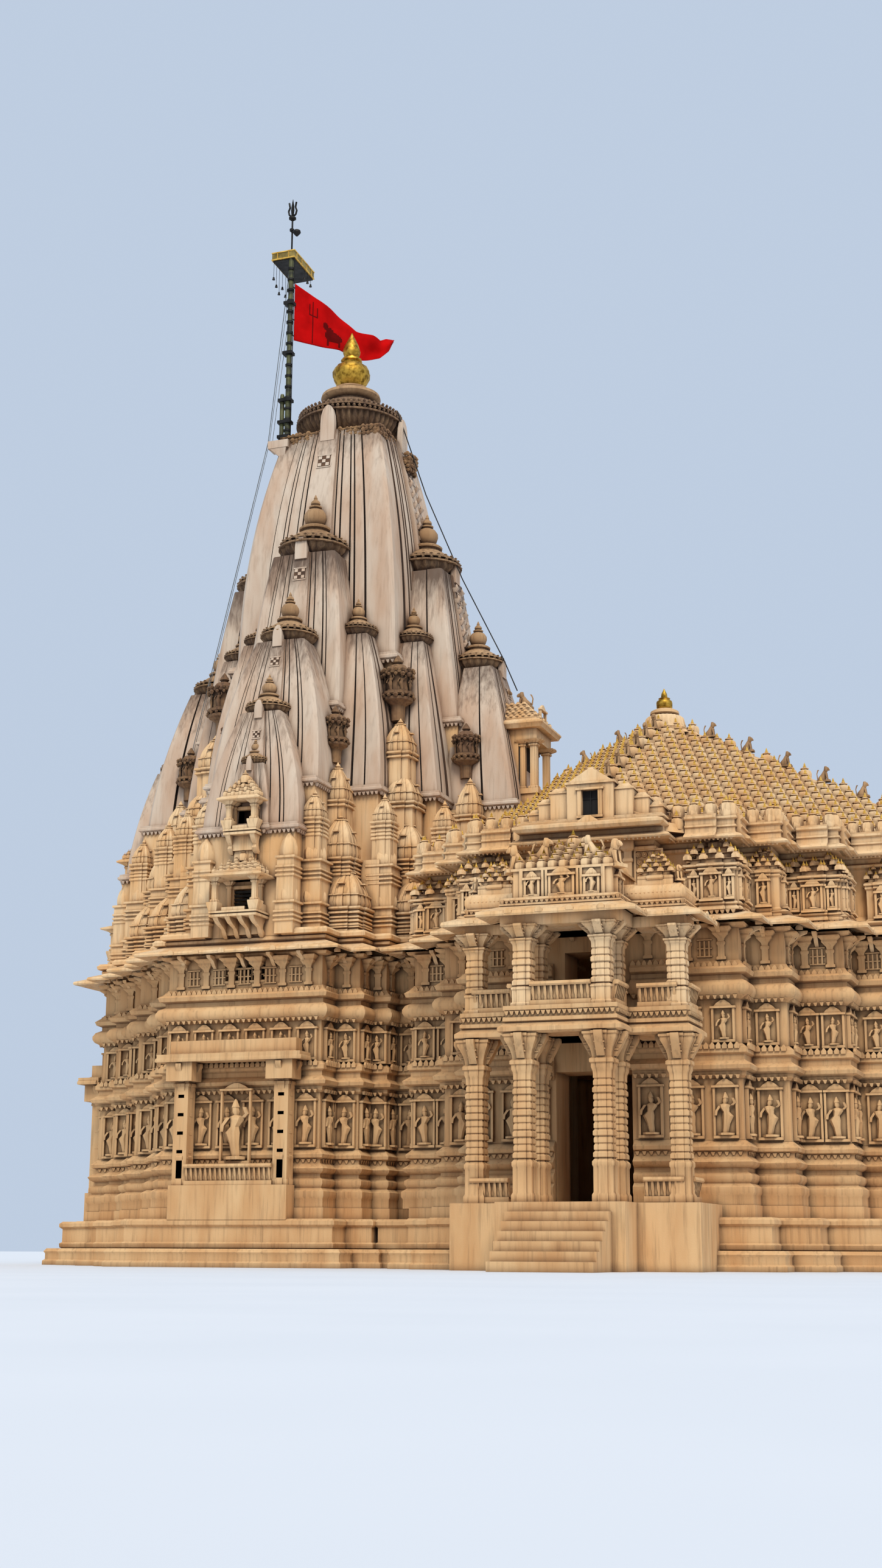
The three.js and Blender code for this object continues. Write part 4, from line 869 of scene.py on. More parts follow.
def build_main_ring():
    ribs = turning(
        [(1.95, 40.7), (2.05, 40.95), (2.4, 41.2), (2.64, 41.5), (2.72, 41.82), (2.66, 42.0)], 104, dent=0.06)
    rims = [
        turning([(2.3, z - 0.02), (r, z), (r, z + 0.09), (2.3, z + 0.1)], 64)
        for r, z in ((2.78, 41.8), (2.7, 42.12))]
    beads = copies(bead(), [
        place(cos(t) * r, sin(t) * r, z, 0, (0.09, 0.09, 0.11)) for r, z in ((2.7, 42.0), (2.62, 42.32))
        for t in turns_of(62)])
    slope = turning([
        (2.5, 42.2), (2.44, 42.34), (2.1, 42.62), (1.7, 42.86), (1.35, 43.06), (1.2, 43.14),
        (1.18, 43.3)], 56)
    disc = turning([
        (1.2, 43.22), (1.42, 43.32), (1.54, 43.46), (1.5, 43.62), (1.28, 43.74), (0.95, 43.8), (0.85, 43.86),
        (0.95, 43.92), (0.9, 44.02), (0.6, 44.08)], 48)
    solid = joined(
        weathered(joined(ribs, *rims, beads, slope), 40.0, 41.0, 1), weathered(disc, 40.0, 41.0, 0.2))
    piece("main_ribbed_ring_beaded", solid, "grey", ["main_ribbed_ring"])
    pot = turning([
        (0.52, 44.05), (0.56, 44.14), (0.8, 44.34), (0.97, 44.68), (0.99, 44.96), (0.84, 45.26),
        (0.55, 45.44), (0.42, 45.5), (0.44, 45.56), (0.56, 45.62), (0.54, 45.72), (0.36, 45.8), (0.34, 45.86),
        (0.44, 46.02), (0.46, 46.2), (0.38, 46.48), (0.24, 46.78), (0.11, 47.04), (0.03, 47.24)], 24, 0.05)
    piece("main_finial_gilded", pot, "gold", ["main_finial"])


# Corner shrines

CAP_PLAN = four_sided(
    [(0.15, 1.04), (0.15, 0.96), (0.34, 0.96), (0.34, 0.99), (0.52, 0.99), (0.52, 0.9), (0.87, 0.88)])
CAP_CURVE = (
    (0.92, 0), (0.98, 0.12), (0.93, 0.32), (1, 0.325), (1, 0.355), (0.88, 0.36), (0.82, 0.5), (0.71, 0.66),
    (0.57, 0.8), (0.43, 0.91), (0.32, 1))


def shrine_tower(half, foot, wall, tip, rolls):
    """A small shrine: rolled courses, a double cornice and a tall ribbed cap with a pot."""
    wall -= min(0.3 * (tip - wall), max(0, wall - foot - 1.4))
    h, levels = half, [(1, foot)]
    if rolls:
        for group in (0.06, wall - foot - 0.9):
            for i in range(3):
                z = foot + group + i * 0.17
                levels += [(0.97, z), (1.07, z + 0.04), (1.07, z + 0.1)]
            levels.append((0.97, z + 0.14))
    levels += [(s, wall + dz) for s, dz in (
        (0.95, -0.36), (1.12, -0.33), (1.12, -0.26), (1, -0.2), (1.16, -0.12), (1.16, -0.04), (0.9, 0))]
    rise = tip - wall - 0.36
    parts = [
        form(STEPPED, even(levels, h)), form(CAP_PLAN, even([(s, wall + rise * t) for s, t in CAP_CURVE], h))]
    z = wall + rise
    parts.append(form(
        circle(7),
        even([
            (0.2, z - 0.02), (0.4, z + 0.02), (0.4, z + 0.07), (0.14, z + 0.1), (0.22, z + 0.17),
            (0.13, z + 0.24), (0.02, z + 0.37)], h)))
    parts.append(on_sides(front(h * 0.16, 0.1, h * 0.93, wall + rise * 0.66, wall + rise * 0.66 + 0.06)))
    return joined(*parts)


def ornate_top():
    """The figured head of a stack, 2.1 m high: discs, a ring of figures, a dome and a pot."""
    drum = form(
        circle(12),
        even([
            (0.28, -0.6), (0.3, 0), (0.42, 0.1), (0.6, 0.2), (0.62, 0.3), (0.52, 0.34), (0.66, 0.42),
            (0.66, 0.52), (0.46, 0.58), (0.44, 1.2), (0.6, 1.26), (0.62, 1.36), (0.5, 1.42), (0.36, 1.58),
            (0.3, 1.66), (0.12, 1.72), (0.2, 1.8), (0.16, 1.9), (0.03, 2.1)]))
    figures = copies(figure(), [
        place(cos(t) * 0.5, sin(t) * 0.5, 0.54, t + pi / 2, 0.72) for t in turns_of(7)])
    rng = np.random.default_rng(3)
    studs = copies(bead(), [
        place(cos(t) * 0.62, sin(t) * 0.62, z, 0, rng.uniform(0.07, 0.12)) for t in turns_of(14)
        for z in (0.36, 1.2, 1.4)])
    return joined(drum, figures, studs)


def slim_shrines(half, tips):
    """A slim pier of shrines, each with three rolled courses and a tall ribbed cap."""
    parts, foot = [], DECK
    for rank, tip in enumerate(tips):
        h, wall = half * (1 - 0.08 * rank), tip - 1.1
        shape = [(0.97, foot)]
        shape += [
            (s, wall - 0.95 + i * 0.19 + dz) for i in range(3)
            for s, dz in ((0.97, 0), (1.1, 0.04), (1.1, 0.11), (0.97, 0.14))]
        shape += [(0.95, wall - 0.16), (1.14, wall - 0.12), (1.14, wall - 0.03), (0.9, wall)]
        cap = [
            (0.96, wall), (1.02, wall + 0.2), (0.98, wall + 0.4), (0.78, wall + 0.68), (0.45, wall + 0.88),
            (0.3, wall + 0.94), (0.3, wall + 0.98), (0.04, tip)]
        parts += [stack(even(shape, h)), form(circle(14, 0.09), even(cap, h))]
        foot = wall
    return joined(*parts)


def build_corners():
    parts = []
    for x, y, half, tips in SLIM_STACKS:
        parts.append(copies(slim_shrines(half, tips), [place(x, -y), place(y, -x)]))
    for x, y, half, wall, tip in CORNER_STACK:
        parts.append(moved(shrine_tower(half, DECK, wall, tip, wall < 19), x, -y))
    for x, y, half, wall, tip in BESIDE_STACK + COLUMN_SHRINES:
        tower = shrine_tower(half, DECK, wall, tip, wall < 20)
        parts.append(copies(tower, [place(x, -y), place(y, -x)]))
    x, y, foot, size = CORNER_HEAD
    heads = [place(x, -y, foot, 0, size)]
    x, y, foot, size = BESIDE_HEAD
    heads += [place(x, -y, foot, 0, size), place(y, -x, foot, 0, size)]
    parts.append(copies(weathered(ornate_top(), -3, 0, 0.7).on(3), heads))
    levels = spire_levels(CORNER_SPIRE, 10)
    body = groove_faces(form(four_sided(CORNER_EIGHTH), levels), levels, CORNER_GROOVES)
    body = weathered(body, CORNER_SPIRE.shoulder - 2, CORNER_SPIRE.shoulder)
    rise = CORNER_SPIRE.tip - CORNER_SPIRE.shoulder
    head = moved(crown(), 0, 0, CORNER_SPIRE.shoulder, 0, (0.92, 0.92, rise))
    foot = skirt(CORNER_SPIRE.half, CORNER_SPIRE.half, CORNER_SPIRE.base, 1.95)
    spire = joined(body, foot).on(4)
    spire.slots = np.where(np.concatenate([body.slots, foot.slots]) == 1, 1, 4)
    spire = joined(spire, head)
    parts.append(copies(spire, [place(x, -y, 0, 0 if y > x else pi / 2) for x, y in CORNER_SPIRE_AT]))
    corner = [
        (1.8, -11.0), (3.85, -11.0), (3.85, -9.55), (5.0, -9.55), (5.0, -8.35), (5.75, -8.35), (5.75, -7.25),
        (7.25, -7.25)]
    corner += [(-y, -x) for x, y in reversed(corner[:-1])]
    parts.append(band(corner, [(0, 13.76), (0.08, 13.8), (0.1, 13.94), (0.03, 14.0), (0, 14.05)], back=-1.2))
    solid = joined(*parts)
    finishes = "light groove grey dark plaster"
    for side, name in enumerate(CORNERS):
        node = name + "_corner_shrines"
        piece(node + "_carved", on_sides(solid, [side]), finishes, [node])


# Walls

# Mouldings of the walls from the plinth up: distance from the wall and level
BASE_OUTLINE = [
    (0.34, 2.38), (0.34, 2.75), (0.4, 2.85), (0.4, 3.05), (0.2, 3.2), (0.3, 3.35), (0.3, 3.5), (0.12, 3.62),
    (0.12, 3.75), (0.3, 3.85), (0.37, 3.98), (0.1, 4.2), (0.1, 4.35), (0.24, 4.42), (0.28, 4.55),
    (0.05, 4.78)]
MIDDLE_OUTLINE = [
    (0.03, 7.1), (0.16, 7.2), (0.16, 7.34), (0.36, 7.44), (0.4, 7.58), (0.12, 7.8), (0.12, 7.98),
    (0.24, 8.06), (0.24, 8.24), (0.04, 8.4)]
UPPER_OUTLINE = [
    (0.03, 10.1), (0.2, 10.2), (0.34, 10.28), (0.42, 10.42), (0.42, 10.56), (0.32, 10.74), (0.1, 10.86),
    (0.1, 11.02), (0.3, 11.1), (0.36, 11.26), (0.12, 11.46), (0.03, 11.6)]
HEAD_OUTLINE = [(0.02, 12.86), (0.24, 12.9), (0.3, 13.02)]


def wall_carving(path):
    """The mouldings, wedges, niches and pilasters of a wall from the plinth to the eave."""
    parts = [band(path, outline) for outline in (BASE_OUTLINE, MIDDLE_OUTLINE, UPPER_OUTLINE, HEAD_OUTLINE)]
    wedges = along(path, 0.26, 0.2, 7.22) + along(path, 0.26, 0.24, 10.24) + along(path, 0.26, 0.1, 4.36)
    parts.append(copies(dentil(), wedges))
    crest = stack([(0.09, 0.05, 0), (0.1, 0.05, 0.12), (0.02, 0.04, 0.24)])
    parts.append(copies(crest, along(path, 0.24, 0.2, 11.3) + along(path, 0.24, 0.26, 8.2)))
    lower = along(path, 1.25, 0.03, 4.85)
    upper = along(path, 1.25, 0.03, 8.45)
    parts += [
        copies(niche(0.95, 2.1), lower), copies(niche(0.9, 1.5), upper), pilasters(path, 11.62, 12.86, 1.2)]
    for lean, low, high in ((1, lower[::2], upper[1::2]), (-1, lower[1::2], upper[::2])):
        places = [p @ place(0, -0.1, 0.12, 0, 1.6) for p in low] + [
            p @ place(0, -0.1, 0.12, 0, 1.1) for p in high]
        parts.append(copies(figure(lean), places))
    return joined(*parts)


def pilasters(path, z0, z1, pitch, out=0.02):
    """Short pilasters with bracket heads along a wall, and a pierced panel between each pair."""
    rise = z1 - z0
    shaft = stack([
        (0.19, 0.1, 0), (0.19, 0.1, 0.1), (0.13, 0.07, 0.14), (0.13, 0.07, rise * 0.45),
        (0.17, 0.09, rise * 0.48), (0.17, 0.09, rise * 0.55), (0.12, 0.07, rise * 0.58),
        (0.14, 0.1, rise * 0.66), (0.3, 0.2, rise * 0.8, 0, -0.08), (0.3, 0.2, rise * 0.86, 0, -0.08),
        (0.42, 0.3, rise * 0.96, 0, -0.16), (0.42, 0.3, rise, 0, -0.16)])
    bars = [front(0.035, -0.02, 0.05, 0.12, rise * 0.6, x) for x in (-0.18, 0.0, 0.18)]
    bars += [front(0.3, -0.02, 0.045, z, z + 0.05) for z in (rise * 0.1, rise * 0.35, rise * 0.62)]
    panels = []
    for (ax, ay), (bx, by), (nx, ny), length in edges(path):
        count = max(1, round(length / pitch))
        for i in range(1, count):
            x, y = ax + (bx - ax) * i / count + nx * out, ay + (by - ay) * i / count + ny * out
            panels.append(place(x, y, z0, facing((nx, ny))))
    return joined(copies(shaft, along(path, pitch, out, z0)), copies(joined(*bars), panels))


def tower_path():
    """The tower's plan from its joint with the hall, round the west side and back."""
    plan = four_sided(TOWER_PLAN)
    start = plan.index((7.0, -7.0))
    end = plan.index((7.0, 7.0))
    return plan[end:] + plan[:start + 1]


def hall_paths():
    """The hall's plan south of its long axis, west and east of the south door."""
    plan = shifted(four_sided(HALL_PLAN), HALL_X)
    corner = plan.index((HALL_X - 9.0, -9.0))
    west = [(7.15, -7.0)] + plan[corner:] + [(HALL_X - 1.55, -13.5)]
    quarter = shifted([(along_, -out) for along_, out in HALL_PLAN], HALL_X)
    second = shifted([(out, -along_) for along_, out in reversed(HALL_PLAN) if along_ != out], HALL_X)
    return west, [(HALL_X + 1.55, -13.5)] + quarter + second + [(HALL_X + 13.5, -1.55)]


def hall_rounds():
    """The hall's plan over the doors: two runs south of its long axis and two north of it."""
    west, east = hall_paths()
    runs = [west[:-1] + [(HALL_X, -13.5)], [(HALL_X, -13.5)] + east[1:-1] + [(HALL_X + 13.5, 0)]]
    return runs + [mirrored(run) for run in reversed(runs)]


def lattice_window(half, z0, z1, out):
    """A stone lattice of crossing bars with a frame."""
    parts = [front(half + 0.1, out - 0.1, out + 0.06, a, b) for a, b in ((z0 - 0.1, z0), (z1, z1 + 0.08))]
    parts += [front(0.05, out - 0.1, out + 0.05, z0, z1, s * (half + 0.05)) for s in BOTH]
    count = round(half * 2 / 0.2)
    for i in range(1, count):
        parts.append(front(0.022, out - 0.06, out + 0.01, z0, z1, -half + i * 2 * half / count))
    rows = round((z1 - z0) / 0.2)
    for i in range(1, rows):
        z = z0 + i * (z1 - z0) / rows
        parts.append(front(half, out - 0.06, out + 0.01, z - 0.022, z + 0.022))
    return joined(*parts)


def build_walls():
    path = tower_path()
    solid = wall_carving(path)
    # Behind each lattice stands a panel painted dark for the shade of the room inside.
    windows = on_sides(
        joined(lattice_window(0.93, 11.92, 12.4, 10.66), front(0.95, 9.3, 9.4, 11.9, 12.75).on(1)),
        BALCONY_SIDES)
    piece("tower_wall_carving", joined(solid, windows), "tan unlit")
    west, east = hall_paths()
    hall_walls = [west, east, mirrored(east), mirrored(west)]
    solid = joined(*(wall_carving(p) for p in hall_walls))
    piece("hall_wall_carving", solid, "tan")
    lower = [
        (1.75, 0), (1.75, 0.18), (1.66, 0.26), (1.66, 0.5), (1.72, 0.6), (1.62, 0.74), (1.5, 0.74), (1.5, 0)]
    upper = [
        (1.05, 0.7), (1.2, 0.78), (1.22, 0.95), (1.12, 1.02), (1.12, 1.6), (1.24, 1.7), (1.24, 1.84),
        (1.12, 1.94)]
    around = [path] + hall_walls
    solid = joined(*(sweep(p, lower) for p in around), *(band(p, upper, back=1.0) for p in around))
    piece("plinth_mouldings", solid, "tan")


# Eaves

def eave_section(z, reach, rise=0.55, thick=0.16):
    """The section of a sloping eave that reaches out from the wall at level z."""
    return [
        (0.0, z + rise - thick), (reach, z - 0.02), (reach + 0.03, z + 0.05), (reach, z + thick * 0.8),
        (0.0, z + rise)]


def eave_buttons(path, reach, z):
    """Small raised leaves along the edge of an eave."""
    leaf = stack([(0.14, 0.03, -0.06), (0.14, 0.035, 0.05), (0.05, 0.03, 0.13)])
    return copies(leaf, along(path, 1.3, reach + 0.01, z + 0.06))


def eave_brackets(path, z, pitch=1.3):
    """Brackets that reach out under an eave from the wall."""
    bracket = stack([
        (0.07, 0.06, -0.55, 0, 0.02), (0.08, 0.16, -0.4, 0, -0.1), (0.08, 0.2, -0.24, 0, -0.2),
        (0.09, 0.4, -0.12, 0, -0.34), (0.09, 0.42, -0.02, 0, -0.36)])
    return copies(bracket, along(path, pitch, 0.0, z, margin=0.1))


def build_eaves():
    path = tower_path()
    deck = form(four_sided(TOWER_PLAN), [(0.995, 0.995, WALL_TOP), (0.995, 0.995, DECK)])
    cornice = band(path, [(0, 13.45), (0.12, 13.5), (0.2, 13.6), (0.2, 13.7), (0.05, 13.82)])
    solid = joined(
        deck, sweep(path, eave_section(WALL_TOP, 1.15)), cornice, eave_buttons(path, 1.15, WALL_TOP),
        eave_brackets(path, WALL_TOP))
    piece("tower_eave_sloping", solid, "light", ["tower_eave"])
    solid = joined(*(
        joined(
            sweep(p, eave_section(WALL_TOP, 1.15)), eave_buttons(p, 1.15, WALL_TOP),
            eave_brackets(p, WALL_TOP),
            band(p, [(-0.3, 13.4), (0.2, 13.5), (0.28, 13.62), (0.1, 13.72)], back=-0.6))
        for p in hall_rounds()))
    piece("hall_eave_sloping", solid, "light", ["hall_eave"])


# Balconies

def post(x, y, z0, z1, size):
    """A small square post with a moulded foot and a bracket head."""
    shares = [
        (1.5, z0), (1.5, z0 + 0.1), (1, z0 + 0.14), (1, z1 - 0.3), (1.4, z1 - 0.26), (1.4, z1 - 0.2),
        (1.1, z1 - 0.17)]
    head = [(size * 2.6, size * 2.2, z1 - 0.05), (size * 2.8, size * 2.4, z1)]
    return form(STEPPED, [(*level, x, y) for level in even(shares, size) + head])


def balcony(half, roof_half, reach, roof_reach, ledge, roof, louvres, wall=10.8):
    """A balcony: brackets, moulded floor, corner parapets, posts, sloping roof and bells."""
    depth, cover = reach - wall, roof_reach - wall
    parts = [
        front(half + more, wall, reach + more, ledge + low, ledge + high)
        for more, low, high in ((0.03, -0.2, -0.1), (-0.04, -0.1, -0.04), (0.05, -0.04, 0.04))]
    parts += [
        front(half * 0.5, reach - 0.1, reach - 0.01, ledge + 0.04, ledge + 0.2),
        front(half * 0.8, wall, wall + 0.25, ledge - 0.85, ledge - 0.2)]
    for side in BOTH:
        x = side * (half - 0.14)
        parts.append(stack([
            (0.17, 0.17, ledge + 0.02, x, -reach + 0.15), (0.26, 0.26, ledge + 0.36, x * 1.03, -reach + 0.17),
            (0.26, 0.26, ledge + 0.44, x * 1.03, -reach + 0.17)]))
        parts.append(block(x - 0.05, x + 0.05, -reach + 0.3, -wall, ledge + 0.03, ledge + 0.41))
        parts.append(post(x, -reach + 0.16, ledge + 0.44, roof, 0.12))
        parts.append(post(side * half * 0.68, -wall - 0.12, ledge, roof, 0.1))
    count = 4 if half > 1 else 2
    for i in range(count):
        x = -half * 0.78 + i * 2 * half * 0.78 / (count - 1)
        parts.append(stack([
            (0.07, 0.1, ledge - 1.0, x, -wall - 0.04), (0.1, 0.16, ledge - 0.9, x, -wall - 0.1),
            (0.1, 0.15, ledge - 0.76, x, -wall - 0.2), (0.08, 0.12, ledge - 0.62, x, -wall - depth * 0.26),
            (0.11, depth * 0.3, ledge - 0.44, x, -wall - depth * 0.45),
            (0.11, depth * 0.44, ledge - 0.3, x, -wall - depth * 0.48),
            (0.12, depth * 0.48, ledge - 0.2, x, -wall - depth * 0.5)]))
    middle = -(wall + roof_reach) / 2
    parts.append(stack([
        (roof_half - 0.03, cover / 2 - 0.03, roof, 0, middle), (roof_half, cover / 2, roof + 0.02, 0, middle),
        (roof_half, cover / 2, roof + 0.08, 0, middle),
        (roof_half * 0.78, cover * 0.38, roof + 0.22, 0, -wall - cover * 0.38)]))
    spots = []
    for i, share in enumerate((0.72, 0.56, 0.4, 0.24)):
        z, wide, deep = roof + 0.18 + i * 0.19, roof_half * share, cover * share
        parts.append(stack([
            (wide, deep * 0.5, z, 0, -wall - deep * 0.5), (wide, deep * 0.5, z + 0.13, 0, -wall - deep * 0.5),
            (wide * 0.85, deep * 0.45, z + 0.19, 0, -wall - deep * 0.47)]))
        across = max(1, round(wide / 0.17))
        spots += [
            place(wide * (2 * k / across - 1), -wall - deep * 0.9, z + 0.12, 0, 0.42)
            for k in range(across + 1)]
        spots += [place(s * wide, -wall - deep * b, z + 0.12, 0, 0.42) for s in BOTH for b in (0.25, 0.58)]
    parts.append(
        copies(joined(bell(), bell_cap()), spots + [place(0, -wall - cover * 0.2, roof + 1.0, 0, 0.75)]))
    frame_half = 0.56 if louvres else 0.46
    parts += [
        front(0.07, wall - 0.1, wall + 0.08, ledge + 0.04, roof - 0.32, side * (frame_half + 0.07))
        for side in BOTH]
    parts += [
        front(frame_half + 0.16, wall - 0.1, wall + 0.1, roof - 0.32, roof - 0.18),
        # A panel set back behind the opening, painted dark for the shade inside.
        front(frame_half, wall - 1.2, wall - 1.1, ledge, roof - 0.2).on(1)]
    if louvres:
        for i in range(6):
            z = ledge + 0.16 + i * 0.17
            slat = stack([(frame_half, 0.04, z, 0, -wall + 0.06), (frame_half, 0.02, z + 0.1, 0, -wall)])
            parts.append(slat.on(2))
    return joined(*parts)


def build_balconies():
    lower = balcony(1.08, 1.45, 12.1, 12.45, 14.7, 16.2, True)
    upper = balcony(0.74, 1.02, 11.65, 11.95, 18.35, 19.65, False, wall=11.05)
    link = form(STEPPED, [
        (0.7, 0.3, 16.2, 0, -11.0), (0.66, 0.28, 16.9, 0, -11.0), (0.5, 0.2, 17.0, 0, -11.0),
        (0.5, 0.2, 17.5, 0, -11.0)])
    solid = joined(lower, upper, link)
    for side in BALCONY_SIDES:
        node = SIDES[side] + "_balconies"
        piece(node + "_carved", on_sides(solid, [side]), "light unlit iron", [node])


# Antefix

def build_antefix():
    """The shrine over the way from the hall to the tower, with a tiered crest and lions."""
    x0, x1, half = 6.0, 10.25, 1.2
    mid, size = (x0 + x1) / 2, (x1 - x0) / 2
    parts = [
        block(x0, x1 - 0.9, -half, half, 18.4, 24.9), block(x1 - 0.9, x1, -half, half, 18.4, 21.55),
        block(x1 - 0.9, x1, -half, half, 24.15, 24.9),
        block(x1 - 0.9, x1 + 0.08, -half - 0.08, half + 0.08, 21.55, 21.8),
        # A sheet painted dark between the posts, for the shade of the porch behind them.
        block(x1 - 0.88, x1 - 0.84, -half + 0.05, half - 0.05, 21.8, 24.15).on(1)]
    for y in (-half + 0.2, half - 0.2):
        parts += [post(x1 - 0.18, y, 21.8, 24.15, 0.17), post(x1 - 0.72, y, 21.8, 24.15, 0.14)]
    parts.append(stack([
        (size + 0.3, half + 0.3, 24.7, mid, 0), (size + 0.36, half + 0.4, 24.86, mid, 0),
        (size + 0.4, half + 0.44, 24.9, mid, 0), (size + 0.4, half + 0.44, 24.98, mid, 0),
        (size + 0.1, half + 0.1, 25.2, mid - 0.1, 0)]))
    knobs = []
    for long, width, z in ((4.2, 1.15, 25.15), (3.95, 0.98, 25.4), (3.7, 0.78, 25.65), (3.45, 0.56, 25.9)):
        parts.append(stack([
            (long / 2 + more, width + more, z + rise, x0 + long / 2, 0)
            for more, rise in ((0, 0), (0.05, 0.1), (0.05, 0.16), (0, 0.26))]))
        knobs += [place(x0 + long, y * width, z + 0.24, 0, 0.3) for y in (-1, -0.5, 0, 0.5, 1)]
        knobs += [place(x0 + long - k * 0.3, s * width, z + 0.24, 0, 0.3) for s in BOTH for k in range(1, 9)]
    parts += [copies(small_bell(), knobs), moved(niche(0.9, 1), x1 - 0.1, 0, 25.0, pi / 2)]
    beasts = copies(lion(), [
        place(8.3, 0.0, 26.2, pi / 2, (0.8, 0.85, 0.95)), place(9.3, 0.0, 26.14, -pi / 2, (0.8, 0.85, 0.8))])
    parts.append(weathered(beasts, -3, 0, 0.3).on(2))
    piece("antefix_carved", joined(*parts), "light unlit grey", ["antefix"])


# Hall

# The roof's tiers: how many, the reach of the lowest, how far each steps in, the lowest level
# and each one's rise
ROOF_TIERS = 18
ROOF_REACH = 15.95
ROOF_PITCH = 0.85
ROOF_FOOT = 17.0
ROOF_STEP = 0.42


def outside_tower(x, y, margin=0.3):
    """Whether a point of the hall's roof is clear of the tower."""
    wx = x + HALL_X
    if wx < JOINT_X + margin:
        return False
    return all(
        not (wx < out + margin and abs(y) < reach + margin)
        for reach, out in ((3.6, 10.7), (4.75, 9.3), (5.5, 8.1), (7.0, 7.0)))


def roof_body():
    """The roof in steps on a diamond plan, cut to the walls and to the tower."""
    diamond = [(0, -1), (1, 0), (0, 1), (-1, 0)]
    levels = [(ROOF_REACH + 0.2, ROOF_REACH + 0.2, HALL_EAVE)]
    for tier in range(ROOF_TIERS):
        reach, z = ROOF_REACH - tier * ROOF_PITCH, ROOF_FOOT + tier * ROOF_STEP
        levels += [
            (reach + 0.1, reach + 0.1, z - 0.1), (reach + 0.1, reach + 0.1, z + 0.02),
            (reach - 0.12, reach - 0.12, z + 0.06)]
    stock = moved(form(diamond, levels), HALL_X, 0, 0)
    tower = form(four_sided(TOWER_PLAN), [(1, 1.0, 10), (1, 1.0, 30)])
    return cut(stock, [
        ("DIFFERENCE", tower), ("DIFFERENCE", block(-20, JOINT_X, -20, 20, 10, 30)),
        ("INTERSECT", block(0, HALL_X + 13.2, -13.2, 13.2, 10, 30))])


def build_hall_roof():
    spots, heads, beasts = [], [], []
    pitch = round(bpy.context.scene.temple_look.bell_spacing, 4)

    def clear(x, y, edge=12.9):
        return max(abs(x), abs(y)) < edge and outside_tower(x, y)

    for tier in range(ROOF_TIERS):
        reach, z = ROOF_REACH - tier * ROOF_PITCH - 0.2, ROOF_FOOT + tier * ROOF_STEP
        for a in np.arange(0.42 + 0.5 * pitch * (tier % 2), reach - 0.35, pitch):
            for sx, sy in ((1, -1), (1, 1), (-1, 1), (-1, -1)):
                x, y = sx * a, sy * (reach - a)
                if clear(x, y) and not (max(abs(x), abs(y)) > 11.6 and min(abs(x), abs(y)) < 2.9):
                    spots.append(place(HALL_X + x, y, z))
        for c, s in ((0, -1), (1, 0), (0, 1), (-1, 0)):
            x, y = c * reach, s * reach
            if clear(x, y, 12.6):
                if tier % 2:
                    heads.append(place(HALL_X + x, y, z + 0.06))
                else:
                    beasts.append(place(HALL_X + x, y, z + 0.2, facing((c, s)), (0.62, 0.62, 0.7)))
    drum = turning([
        (1.75, 23.9), (1.62, 24.05), (1.3, 24.12), (1.3, 24.2), (1.12, 24.26), (1.14, 24.34), (1.02, 24.42),
        (0.94, 24.7), (0.9, 24.88), (0.82, 24.96), (0.6, 25.0)], 52, dent=0.05)
    bells = copies(bell(), spots + heads)
    piece("hall_roof_bells", joined(roof_body(), bells, moved(drum, HALL_X)), "light", ["hall_roof"])
    piece("hall_roof_lions", weathered(copies(lion(), beasts), -3, 0, 0.35), "grey")
    piece("hall_roof_gilded_caps", copies(bell_cap(), spots + heads), "tips")
    cushion = turning(
        [(0.42, 24.96), (0.58, 25.0), (0.68, 25.12), (0.66, 25.24), (0.5, 25.33), (0.3, 25.37)], 28)
    pot = turning([
        (0.3, 25.34), (0.32, 25.4), (0.37, 25.46), (0.38, 25.68), (0.36, 25.76), (0.27, 25.82), (0.25, 25.86),
        (0.28, 25.9), (0.14, 25.96), (0.15, 26.0), (0.13, 26.14), (0.07, 26.26), (0.01, 26.4)], 20)
    piece("hall_roof_cushion", moved(cushion, HALL_X), "tan")
    piece("hall_finial_gilded", moved(pot, HALL_X), "gold", ["hall_finial"])


def small_bell():
    """A small bell for a turret's roof, 0.6 m across before it is sized, with few faces."""
    return turning([(0.36, -0.16), (0.34, 0.1), (0.2, 0.24), (0.24, 0.3), (0.08, 0.35)], 5)


def small_cap():
    """The gilded point of a small bell."""
    return turning([(0.08, 0.33), (0.14, 0.42), (0.06, 0.53), (0.01, 0.74)], 4)


def small_roof(half, z, tip):
    """The stepped roof of a turret: four tiers of small bells and a larger one at the head."""
    rise = (tip - z) / 5
    levels = [(1.14, -0.1), (1.22, -0.04), (1.22, 0.04), (1, 0.1)]
    spots, size = [], min(0.52, half * 0.6)
    for tier, (share, each) in enumerate(((0.94, 4), (0.72, 3), (0.5, 2), (0.28, 2))):
        foot = 0.08 + tier * rise
        levels += [
            (share, foot), (share, foot + rise * 0.62), (share + 0.08, foot + rise * 0.72),
            (share - 0.06, foot + rise * 0.86)]
        turns = [2 * k / (each - 1) - 1 for k in range(each)]
        grid = {(a, b) for a in turns for b in turns if max(abs(a), abs(b)) == 1}
        spots += [
            place(a * half * share, b * half * share, z + foot + rise * 0.95, 0, size * (1 - tier * 0.12))
            for a, b in sorted(grid)]
    steps = form(STEPPED, even([(s, z + dz) for s, dz in levels + [(0.2, rise * 4.05)]], half))
    head = place(0, 0, z + rise * 4.05, 0, (0.7, 0.7, rise / 0.78))
    return joined(steps, copies(small_bell(), spots + [head])), copies(small_cap(), spots + [head])


WIDE_PLAN = four_sided([(0.42, 1), (0.42, 0.92), (0.82, 0.92), (0.82, 0.84), (0.84, 0.84)])


